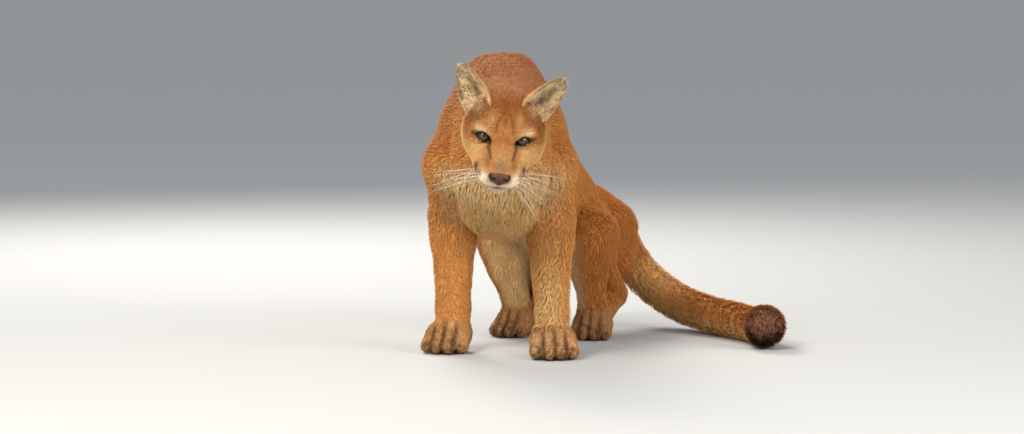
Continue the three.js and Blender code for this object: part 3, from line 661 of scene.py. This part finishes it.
        face = mix(face, DARK, 0.85 * np.exp(-((to_line(h, outer) / 2.6) ** 2)))
        frown = np.array([(side * 17, -22, 30), (side * 15, -6, 42), (side * 8, 14, 51)])
        face = mix(face, UMBER, 0.65 * np.exp(-((to_line(h, frown) / 3.2) ** 2)))
    blend = z_head * step(hy, 75, 30)
    c = mix(c, face, blend)
    return np.clip(c * (1 + 0.10 * mottle[:, None]), 0.004, 1)


def normals_of(p, f):
    n = np.cross(p[f[:, 1]] - p[f[:, 0]], p[f[:, 2]] - p[f[:, 0]])
    total = np.zeros_like(p)
    for k in range(3):
        np.add.at(total, f[:, k], n)
    return unit(total)


def mesh_piece(name, points, faces, colours):
    """A triangle mesh object from arrays in body frame millimetres, riding on the animal."""
    mesh = bpy.data.meshes.new(name)
    mesh.vertices.add(len(points))
    mesh.vertices.foreach_set("co", placed(points).astype(np.float32).ravel())
    mesh.loops.add(faces.size)
    mesh.loops.foreach_set("vertex_index", faces.astype(np.int32).ravel())
    mesh.polygons.add(len(faces))
    mesh.polygons.foreach_set("loop_start", np.arange(0, faces.size, 3, dtype=np.int32))
    mesh.polygons.foreach_set("use_smooth", np.full(len(faces), True))
    mesh.update(calc_edges=True)
    layer = mesh.color_attributes.new("marking", "FLOAT_COLOR", "POINT")
    colours = np.c_[colours, np.ones(len(colours))]
    layer.data.foreach_set("color", colours.astype(np.float32).ravel())
    piece = bpy.data.objects.new(name, mesh)
    bpy.context.scene.collection.objects.link(piece)
    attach(piece, "root")
    return piece


def painted(name, roughness, grain, depth):
    """A material that shows the marking attribute, with fine noise in colour and relief."""
    material = bpy.data.materials.new(name)
    material.use_nodes = True
    tree = material.node_tree
    shader = tree.nodes["Principled BSDF"]
    colour = tree.nodes.new("ShaderNodeAttribute")
    colour.attribute_name = "marking"
    place = tree.nodes.new("ShaderNodeTexCoord")
    noise = tree.nodes.new("ShaderNodeTexNoise")
    spread = tree.nodes.new("ShaderNodeMapRange")
    shade = tree.nodes.new("ShaderNodeVectorMath")
    shade.operation = "SCALE"
    bump = tree.nodes.new("ShaderNodeBump")
    for node, socket, value in (
        (shader, "Roughness", roughness), (shader, "Specular IOR Level", 0.12),
        (noise, "Scale", grain), (noise, "Detail", 6.0),
        (spread, "To Min", 0.72), (spread, "To Max", 1.28),
        (bump, "Strength", 0.6), (bump, "Distance", depth),
    ):
        node.inputs[socket].default_value = value
    for source, output, target, socket in (
        (place, "Object", noise, "Vector"), (noise, "Fac", spread, "Value"),
        (colour, "Color", shade, 0), (spread, "Result", shade, "Scale"),
        (shade, "Vector", shader, "Base Color"), (noise, "Fac", bump, "Height"),
        (bump, "Normal", shader, "Normal"),
    ):
        tree.links.new(source.outputs[output], target.inputs[socket])
    return material


skin_normals = normals_of(skin_points, skin_faces)
centre = skin_points.mean(0)
if ((skin_points - centre) * skin_normals).sum() < 0:
    skin_faces = skin_faces[:, ::-1]
    skin_normals = -skin_normals
skin_colours = markings(skin_points, skin_normals)
skin_material = painted("short_coat", 0.85, 900.0, 0.0006)
# The skin takes the markings darkened by a fifth: painted shade where it shows deep between the tufts.
skin = mesh_piece("skin", skin_points, skin_faces, skin_colours * 0.8)
skin.data.materials.append(skin_material)
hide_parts(*[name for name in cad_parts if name.split("_")[0] not in ("eye", "ear", "nose")])

# Ears: thick leaves of skin and gristle curled into cups, thinner toward the tip, pale inside and
# dark behind. Each is an outer and an inner bent sheet of corners, sewn together round the edge.

EAR_HEIGHT, EAR_HALF_WIDTH, EAR_ROOT = 90.0, 34.0, -0.2
EAR_DEPTH, EAR_CURL = 24, 96
EAR_WIDTHS = (0.84, 0.94, 1, 0.99, 0.93, 0.85, 0.73, 0.58, 0.33)
EARS = (
    ("ear_left", (54, 62, 28), (0.74, 0.15, 0.66), (0.45, -0.85, -0.25)),
    ("ear_right", (-54, 62, 28), (-0.42, 0.2, 0.88), (-0.62, -0.76, 0.1)),
)
ear_rows, ear_columns = 34, 40
ear_skins = []
for name, root, tip, opening in EARS:
    to_tip = np.array(tip) / np.linalg.norm(tip)
    back = -np.array(opening)
    back = back - to_tip * (back @ to_tip)
    back /= np.linalg.norm(back)
    ear_turn = np.column_stack([np.cross(back, to_tip), back, to_tip])
    hs = np.linspace(EAR_ROOT, 1, ear_rows)
    widths = np.interp((hs - EAR_ROOT) / (1 - EAR_ROOT), np.linspace(0, 1, 9), EAR_WIDTHS)
    angles = np.radians(np.linspace(-EAR_CURL, EAR_CURL, ear_columns))
    layers = []
    colours = []
    for inner, half_thickness in ((False, 1.7), (True, -1.7)):
        shell = half_thickness * (1 - 0.5 * np.maximum(hs, 0))[:, None]
        depth = (EAR_DEPTH * (1 - 0.75 * np.maximum(hs, 0)))[:, None]
        xs = (EAR_HALF_WIDTH * widths[:, None] - 0.8 + shell) * np.sin(angles)
        ys = (depth + shell - 0.5) * np.cos(angles) - 8 + 6 * hs[:, None]
        zs = np.broadcast_to(hs[:, None] * (EAR_HEIGHT - 2), xs.shape)
        layers.append(np.stack([xs, ys, zs], -1).reshape(-1, 3))
        edge = np.broadcast_to(np.abs(np.linspace(-1, 1, ear_columns)) ** 6, xs.shape).ravel()
        high = np.broadcast_to(np.clip(hs, 0, 1)[:, None], xs.shape).ravel()
        speckle = ripple(layers[-1], 9, 21)
        if inner:
            patchy = ripple(layers[-1], 34, 23)
            tone = mix(CREAM, GREY, np.clip(0.2 + 0.3 * high + 0.5 * patchy + 0.2 * speckle, 0, 1))
            bend = np.sin(np.broadcast_to(angles, xs.shape).ravel())
            # A dark patch low in the middle of the cup: painted shade in the ear's hollow.
            shaded_hollow = np.exp(-(((bend - 0.1) / 0.3) ** 2)) * step(high, 0.7, 0.3) * step(high, 0.02, 0.2)
            tone = mix(tone, UMBER, 0.8 * shaded_hollow)
            tone = mix(tone, UMBER, 0.75 * edge * step(high, 0.1, 0.4))
        else:
            tone = mix(TAN, DARK, np.clip(0.25 + 0.55 * step(high, 0.1, 0.6) + 0.15 * speckle, 0, 1))
            tone = mix(tone, BUFF, 0.5 * edge)
        colours.append(tone)
    half = ear_rows * ear_columns
    ids = np.arange(half).reshape(ear_rows, ear_columns)
    a, b = ids[:-1, :-1].ravel(), ids[1:, :-1].ravel()
    c, d = ids[1:, 1:].ravel(), ids[:-1, 1:].ravel()
    quads = [np.stack([a, b, c, d], 1), np.stack([a, d, c, b], 1) + half]
    loop = np.concatenate([ids[0, :-1], ids[:-1, -1], ids[-1, :0:-1], ids[:0:-1, 0]])
    after = np.roll(loop, -1)
    quads.append(np.stack([loop, after, after + half, loop + half], 1))
    quads = np.concatenate(quads)
    triangles = np.concatenate([quads[:, [0, 1, 2]], quads[:, [0, 2, 3]]])
    local = np.concatenate(layers)
    ear_points = local @ ear_turn.T + from_head(np.array(root, float))
    ear_colours = np.concatenate(colours)
    ear = mesh_piece(name + "_skin", ear_points, triangles, ear_colours)
    ear.data.materials.append(skin_material)
    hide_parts(name)
    ear_skins.append((ear_points, triangles, ear_colours, to_tip, half))

# Eyes: glossy balls with a raised cornea, an olive iris and a round dark pupil. Rings of corners
# round the line of sight have one tone each, so that pupil and iris have clean edges.

sight = np.array([0.0, -1.0, 0.03])
axis = sight / np.linalg.norm(sight)
u = np.cross(axis, (0, 0, 1))
u /= np.linalg.norm(u)
v = np.cross(u, axis)
rings = np.radians([0, 5, 10, 10.8, 15, 20, 25, 29, 31, 34, 38, 44, 52, 64, 78, 95, 115, 140, 165])
iris_tones = [(0.05, 0.038, 0.018), (0.10, 0.078, 0.036), (0.11, 0.09, 0.045), (0.06, 0.048, 0.024)]
ring_tones = [DARK] * 3 + iris_tones + [(0.04, 0.03, 0.015), DARK, DARK] + [(0.03, 0.018, 0.013)] * 9
spokes = 48
around = np.arange(spokes) * 2 * np.pi / spokes
circle = np.cos(around)[:, None] * u + np.sin(around)[:, None] * v
wet = painted("wet_eye", 0.04, 300.0, 0.0)
wet.node_tree.nodes["Principled BSDF"].inputs["Specular IOR Level"].default_value = 0.4


def between_rings(ids):
    """Two triangles for each cell between neighbouring rings of corners."""
    a, b = ids[:-1], ids[1:]
    a2, b2 = np.roll(a, -1, 1), np.roll(b, -1, 1)
    return np.concatenate([
        np.stack([a, b, b2], -1).reshape(-1, 3), np.stack([a, b2, a2], -1).reshape(-1, 3),
    ])


for name, side in (("eye_left", 1), ("eye_right", -1)):
    eye_points = []
    eye_tones = []
    for n, (ring, tone) in enumerate(zip(rings, ring_tones)):
        radius = EYE_RADIUS + 0.9 * np.exp(-((ring / 0.42) ** 2))
        eye_points.append((axis * np.cos(ring) + circle * np.sin(ring)) * (radius - 0.9))
        wobble = 1 + 0.25 * np.sin(around * 17 + n) * (3 <= n <= 6)
        eye_tones.append(np.array(tone) * wobble[:, None])
    triangles = between_rings(np.arange(len(rings) * spokes).reshape(len(rings), spokes))
    triangles = triangles[(triangles >= spokes).any(1)]
    eye_points = np.concatenate(eye_points) + from_head((side * EYE_SPACING / 2, 0, 0))
    eye = mesh_piece(name + "_ball", eye_points, triangles, np.concatenate(eye_tones))
    eye.data.materials.append(wet)
    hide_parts(name)

# Nose leather: bare dark brown skin, wide above and drawn in below, with a seam down the middle.
# It is a ball of corners, pulled into shape and pressed in for the nostril on each side.

NOSE_AT, NOSE_RADII = (0, -86, -26), (24.5, 17.6, 16.4)
nose_rows, nose_columns = 60, 90
polar = np.linspace(0, np.pi, nose_rows)[:, None]
turns = np.linspace(0, 2 * np.pi, nose_columns, endpoint=False)[None]
ball = np.stack([
    np.sin(polar) * np.cos(turns), np.sin(polar) * np.sin(turns), np.cos(polar) + 0 * turns,
], -1).reshape(-1, 3)
low_down = np.maximum(0, -ball[:, 2])
drawn_in = 1 - 0.55 * low_down
nose_local = ball * NOSE_RADII
nose_local[:, 0] *= drawn_in
nose_local[:, 1] -= 6.5 * low_down ** 2
nose_local += NOSE_AT
tones = mix((0.085, 0.032, 0.024), (0.13, 0.05, 0.036), np.clip(0.5 + ripple(nose_local, 4, 31), 0, 1))
for side in (-1, 1):
    q = nose_local - (side * 12, -99, -25)
    tilted = q[:, 2] + 0.35 * side * q[:, 0]
    shaded_hollow = np.exp(-((q[:, 0] / 4.6) ** 2 + (q[:, 1] / 9) ** 2 + (tilted / 3.2) ** 2))
    nose_local += shaded_hollow[:, None] * (-side * 2.0, 6.5, 0.5)
    # Each nostril hollow is darkened: painted shade in the recess.
    tones = mix(tones, DARK, np.clip(1.3 * shaded_hollow, 0, 1))
seam = np.exp(-((nose_local[:, 0] / 0.9) ** 2)) * step(nose_local[:, 2], -16, -24)
nose_local[:, 1] += 1.2 * seam
rim = step(np.abs(nose_local[:, 0]) / drawn_in, 13, 20)
# The rim is darkened as the leather's own dark edge, and the seam's groove with painted shade.
tones = mix(mix(tones, DARK, 0.85 * rim), DARK, 0.6 * seam)
triangles = between_rings(np.arange(len(ball)).reshape(nose_rows, nose_columns))
nose = mesh_piece("nose_leather", from_head(nose_local), triangles, tones)
nose.data.materials.append(painted("nose_leather", 0.42, 1400.0, 0.0004))
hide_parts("nose")

# Coat: flattened three-sided tufts rooted in the skin, following the coat's lie. Each has a root
# darkened with painted shade, a body and a paler tip, and its own small patch on an unwrap of the skin.

random = np.random.default_rng(11)
TUFTS, TUFTS_PER_PIECE = 134000, 19500
# Middles of the face, crown, neck, shoulders, back, belly, haunch, forefeet, hind feet and tail.
zone_centres = np.array([
    (0, -320, 430), (10, -230, 540), (0, -110, 430), (0, 60, 520), (70, 330, 440),
    (40, 200, 290), (160, 560, 290), (0, 0, 60), (200, 400, 60), (420, 500, 70),
], float)


def lie(p, n):
    """Unit direction of the hair along the skin."""
    h, z_head, z_face, z_muzzle, z_tail, along, z_throat, z_leg, z_paw = zones(p)
    flow = np.tile((0.22, 0.88, -0.42), (len(p), 1))
    flow = mix(flow, (0.1, 0.45, -0.9), step(p[:, 2], 420, 260))
    flow = mix(flow, (0, 0.12, -1), np.maximum(z_leg, 0.9 * z_throat))
    flow = mix(flow, (0, -0.75, -0.65), z_paw)
    away = unit((h - (0, -112, -34)) * (1.15, 1.0, 1.0))
    away = mix(away, (0, 0.5, -0.85), step(h[:, 2], -50, -66))
    flow = mix(flow, away @ HEAD_TURN.T, z_head)
    tangents = unit(np.gradient(tail_line, axis=0))
    tail_flow = tangents[np.clip((along * TAIL_STEPS).astype(int), 0, TAIL_STEPS)]
    flow = mix(flow, tail_flow + (0, 0, -0.25), z_tail)
    flow = flow + 0.08 * np.stack([ripple(p, 120, s) for s in (41, 43, 47)], 1)
    flow = flow - n * (flow * n).sum(1)[:, None]
    return unit(flow)


def scatter(a, b, c, weight, number):
    """Triangles drawn at random by their weight, and a random point on each."""
    chosen = random.choice(len(weight), number, p=weight / weight.sum())
    u, v = random.random((2, number))
    over = u + v > 1
    u[over], v[over] = 1 - u[over], 1 - v[over]
    return chosen, a[chosen] + u[:, None] * (b - a)[chosen] + v[:, None] * (c - a)[chosen]


def tuft_corners(base, bend, point, across, up, w, bend_half, bend_ridge):
    """Three corners at the root of each tuft, three at its bend and one at its tip."""
    return np.stack([
        base - across * w * 0.5, base + across * w * 0.5, base + up * w * 0.45,
        bend - across * w * bend_half, bend + across * w * bend_half, bend + up * w * bend_ridge,
        point,
    ], 1)


a, b, c = (skin_points[skin_faces[:, k]] for k in range(3))
normal = np.cross(b - a, c - a)
area = np.linalg.norm(normal, axis=1) / 2
middle = (a + b + c) / 3
h, z_head, z_face, z_muzzle, z_tail, along, z_throat, z_leg, z_paw = zones(middle)
density = toward(toward(toward(1.0, 1.2, z_leg), 2.2, z_head), 3.8, z_face)
density = toward(density, 5.0, z_muzzle)
density = toward(density, 2.2, z_paw)
for side in (-1, 1):
    gap, r = slit(h, side)
    density = density * np.where((r < 33) & (gap < 2.6), 0.0, 1.0)
density = density * (to_line(h, mouth) > 2.6)
nose_width = 26 - 0.5 * np.maximum(0, -20 - h[:, 2])
density = density * ((np.abs(h[:, 0]) > nose_width) | (h[:, 1] > -82) | (np.abs(h[:, 2] + 27) > 17))
density = density * (middle[:, 2] > 3.0)
chosen, root = scatter(a, b, c, area * density, TUFTS)
nearby = skin_faces[chosen]
up = unit(skin_normals[nearby[:, 0]] + skin_normals[nearby[:, 1]] + skin_normals[nearby[:, 2]])
tone = markings(root, up)
h, z_head, z_face, z_muzzle, z_tail, along, z_throat, z_leg, z_paw = zones(root)
depth = coat_depth(root)
length = toward(toward(toward(15.0, 11.0, z_leg), 25.0, z_throat), 17.0, z_tail)
length = toward(length, 27.0, z_tail * step(along, 0.85, 0.95))
length = toward(toward(toward(length, 10.0, z_head), 6.0, z_face), 4.0, z_muzzle)
length = toward(length, 7.0, z_paw) * random.uniform(0.75, 1.2, TUFTS)
width = toward(toward(toward(toward(1.6, 1.4, z_leg), 1.1, z_head), 0.8, z_face), 0.65, z_muzzle)
width = toward(toward(width, 1.1, z_paw), 1.5, z_throat) * random.uniform(0.75, 1.25, TUFTS)
flow = lie(root, up)
side_way = np.cross(up, flow)
swing = random.normal(0, 0.16, TUFTS)[:, None]
flow = flow * np.cos(swing) + side_way * np.sin(swing)
side_way = np.cross(up, flow)
ruff = spot(h, (74, 38, -22), (16, 24, 42)) + 0.3 * spot(h, (-74, 38, -22), (16, 24, 42))
ruff = ruff + 0.9 * spot(np.abs(h), (54, 46, 34), (17, 13, 13)) * (h[:, 2] > 0)
length = length + 16 * ruff
lift = np.minimum(depth * random.uniform(0.6, 0.9, TUFTS) + 11 * ruff, 0.7 * length)[:, None]
run = np.sqrt(np.maximum(length**2 - lift[:, 0] ** 2, 1))[:, None]
base = root - up * 0.5
bend = root + flow * run * 0.5 + up * lift * 0.72
point = root + flow * run + up * lift
point[:, 2] = np.maximum(point[:, 2], 0.3)
verts = tuft_corners(base, bend, point, side_way, up, width[:, None], 0.42, 0.32)
verts[:, :, 2] = np.maximum(verts[:, :, 2], 0.2)
pattern = np.array([
    (0, 2, 1), (0, 1, 4), (0, 4, 3), (1, 2, 5), (1, 5, 4),
    (2, 0, 3), (2, 3, 5), (3, 4, 6), (4, 5, 6), (5, 3, 6),
])
shade = random.normal(1.0, 0.07, TUFTS)[:, None, None]
# Each tuft is darkened toward its root, as painted shade deep in the coat, and is a little paler at its
# tip.
root_shade_grade = np.array([0.86, 0.86, 0.88, 0.99, 0.99, 1.0, 1.12])[None, :, None]
tuft_tones = np.clip(tone[:, None, :] * shade * root_shade_grade, 0.004, 1)

# Hair of the ears: short and dark behind, longer and pale inside the cup. The tufts are built as on
# the body, lie toward the ear's tip and join the coat's own list.

EAR_TUFTS = 5000
for ear_points, triangles, ear_colours, to_tip, half in ear_skins:
    ear_normals = normals_of(ear_points, triangles)
    a, b, c = (ear_points[triangles[:, k]] for k in range(3))
    area = np.linalg.norm(np.cross(b - a, c - a), axis=1)
    chosen, ear_root = scatter(a, b, c, area, EAR_TUFTS)
    ear_up = ear_normals[triangles[chosen, 0]]
    inside_cup = triangles[chosen, 0] >= half
    ear_tone = ear_colours[triangles[chosen, 0]]
    flow = to_tip + random.normal(0, 0.3, (EAR_TUFTS, 3))
    flow = unit(flow - ear_up * (flow * ear_up).sum(1)[:, None])
    long = (np.where(inside_cup, 11.0, 6.0) * random.uniform(0.6, 1.2, EAR_TUFTS))[:, None]
    across = np.cross(ear_up, flow)
    w = (np.where(inside_cup, 0.9, 1.0) * random.uniform(0.8, 1.2, EAR_TUFTS))[:, None]
    raised = long * np.where(inside_cup, 0.32, 0.15)[:, None]
    base = ear_root - ear_up * 0.3
    bend = ear_root + flow * long * 0.5 + ear_up * raised * 0.7
    point = ear_root + flow * long + ear_up * raised
    ear_verts = tuft_corners(base, bend, point, across, ear_up, w, 0.4, 0.3)
    shades = random.normal(1.0, 0.14, EAR_TUFTS)[:, None, None]
    verts = np.concatenate([verts, ear_verts])
    tuft_tones = np.concatenate([tuft_tones, np.clip(ear_tone[:, None] * shades * root_shade_grade, 0.004, 1)])
    root = np.concatenate([root, ear_root])
    up = np.concatenate([up, ear_up])
tuft_count = len(root)

# Coat pieces: the tufts are sorted by zone and cut into pieces of one material. Their unwrap has a
# chart for each zone and each of six outward directions, and a small patch there for each tuft.

CHARTS_ACROSS, CHART_SIZE, CHART_MARGIN, PATCH_HALF = 8, 0.112, 0.0055, 0.0015
zone = np.linalg.norm(root[:, None] - zone_centres[None], axis=-1).argmin(1)
facing = np.abs(up).argmax(1)
chart = zone * 6 + facing * 2 + (up[np.arange(tuft_count), facing] > 0)
plane_axes = np.array([(1, 2), (0, 2), (0, 1)])[facing]
flat = np.take_along_axis(root, plane_axes, 1)
patch = np.zeros((tuft_count, 2))
for k in np.unique(chart):
    mine = chart == k
    low, high = flat[mine].min(0), flat[mine].max(0)
    scaled = (flat[mine] - low) / max((high - low).max(), 1.0)
    corner = np.array([k % CHARTS_ACROSS, k // CHARTS_ACROSS]) / CHARTS_ACROSS
    patch[mine] = (scaled * CHART_SIZE + CHART_MARGIN) + corner
corner_shift = np.array([(-1, -1), (1, -1), (0, -1), (-1, 0), (1, 0), (0, 0), (0, 1)]) * PATCH_HALF
coat_material = painted("coat", 0.7, 500.0, 0.0002)
order = np.lexsort((root[:, 1], zone))
pieces = np.array_split(order, int(np.ceil(tuft_count / TUFTS_PER_PIECE)))
for n, members in enumerate(pieces):
    tuft_faces = (pattern[None] + 7 * np.arange(len(members))[:, None, None]).reshape(-1, 3)
    piece = mesh_piece(
        f"coat_{n + 1}", verts[members].reshape(-1, 3), tuft_faces, tuft_tones[members].reshape(-1, 3)
    )
    uv = (patch[members][:, None] + corner_shift[None]).reshape(-1, 2)[tuft_faces.ravel()]
    layer = piece.data.uv_layers.new(name="OFBake")
    layer.data.foreach_set("uv", uv.astype(np.float32).ravel())
    piece.data.materials.append(coat_material)

# Whiskers and claws: long pale bristles that fan out from the pads beside the nose, and short dark
# horn hooks, one to each toe. Both are six-sided tubes that bend and taper.


def tubes(name, lines, tone, material):
    """Each line is (points, radii); all of them are joined into one piece."""
    all_points, all_faces = [], []
    for path, radii in lines:
        path, radii = np.array(path, float), np.array(radii, float)
        along = unit(np.gradient(path, axis=0))
        first = unit(np.cross(along, (0.31, 0.2, 0.93)))
        second = np.cross(along, first)
        around = np.arange(6) * np.pi / 3
        ring = np.cos(around)[None, :, None] * first[:, None]
        ring = ring + np.sin(around)[None, :, None] * second[:, None]
        start = sum(len(p) for p in all_points)
        all_points.append((path[:, None] + ring * radii[:, None, None]).reshape(-1, 3))
        ids = np.arange(len(path) * 6).reshape(len(path), 6) + start
        a, b = ids[:-1], ids[1:]
        a2, b2 = np.roll(a, -1, 1), np.roll(b, -1, 1)
        all_faces += [np.stack([a, a2, b2], -1).reshape(-1, 3), np.stack([a, b2, b], -1).reshape(-1, 3)]
        all_faces += [np.array([(ids[0, 0], ids[0, k + 1], ids[0, k]) for k in range(1, 5)])]
        all_faces += [np.array([(ids[-1, 0], ids[-1, k], ids[-1, k + 1]) for k in range(1, 5)])]
    points, faces = np.concatenate(all_points), np.concatenate(all_faces)
    piece = mesh_piece(name, points, faces, np.tile(tone, (len(points), 1)))
    piece.data.materials.append(material)


whiskers = []
for side, row_count, droop in ((-1, 3, 6), (1, 4, 17)):
    for row in range(row_count):
        for place in range(4):
            start = np.array([side * (26 + 4.5 * place), -88 + 8 * place, -30 - 5 * row])
            fan = np.radians(3 - droop * row - 2 * place + random.normal(0, 3))
            out = np.array([side * np.cos(fan), 0.12 * place - 0.1, np.sin(fan)])
            long = random.uniform(75, 125)
            steps = np.linspace(0, 1, 9)[:, None]
            path = from_head(start) + out * long * steps
            path[:, 2] -= long * 0.12 * steps[:, 0] ** 2
            whiskers.append((path, 0.22 * (1 - 0.8 * steps[:, 0])))
hair = painted("whisker", 0.35, 200.0, 0.0)
tubes("whiskers", whiskers, (0.9, 0.87, 0.82), hair)

claws = []
for centre_x, centre_y, yaw, size in PAWS:
    for toe, tip in TOES:
        reach = np.array([(0, 6, 26), (0, -9, 26), (0, -16, 21), (0, -18, 16)], float)
        local = (reach + (toe * 1.06, tip, 0)) * size
        claws.append((local @ turn("Z", yaw).T + (centre_x, centre_y, 0), [2.0, 1.9, 1.3, 0.3]))
horn = painted("claw", 0.3, 400.0, 0.0001)
tubes("claws", claws, (0.16, 0.10, 0.07), horn)

# Stage: a plain pale floor under a bluish sky, with soft warm light from three large lamps: the
# strongest from the upper left, a weaker one from the right and one from behind.

ground = bpy.data.meshes.new("floor")
ground.from_pydata([(-300, -300, 0), (300, -300, 0), (300, 300, 0), (-300, 300, 0)], [], [(0, 1, 2, 3)])
floor = bpy.data.objects.new("floor", ground)
bpy.context.scene.collection.objects.link(floor)
stone = bpy.data.materials.new("floor")
stone.use_nodes = True
surface = stone.node_tree.nodes["Principled BSDF"].inputs
surface["Base Color"].default_value = (0.42, 0.42, 0.41, 1)
surface["Roughness"].default_value = 0.9
ground.materials.append(stone)
world = bpy.data.worlds.new("sky")
world.use_nodes = True
daylight = world.node_tree.nodes["Background"].inputs
daylight["Color"].default_value = (0.80, 0.84, 0.90, 1)
daylight["Strength"].default_value = 0.75
bpy.context.scene.world = world
for name, place, size, power, tint in (
    ("key", (-2.0, -3.0, 3.0), 1.8, 190, (1.0, 0.94, 0.85)),
    ("fill", (3.0, -2.6, 1.6), 2.4, 135, (1.0, 0.96, 0.90)),
    ("rim", (-1.2, 3.2, 2.8), 1.5, 170, (1.0, 0.95, 0.88)),
):
    light = bpy.data.lights.new(name, "AREA")
    light.size = size
    light.energy = power
    light.color = tint
    lamp = bpy.data.objects.new(name, light)
    bpy.context.scene.collection.objects.link(lamp)
    lamp.location = place
    lamp.rotation_euler = (Vector((-0.1, 0, 0.3)) - Vector(place)).to_track_quat("-Z", "Y").to_euler()
bpy.context.scene.view_settings.view_transform = "Standard"
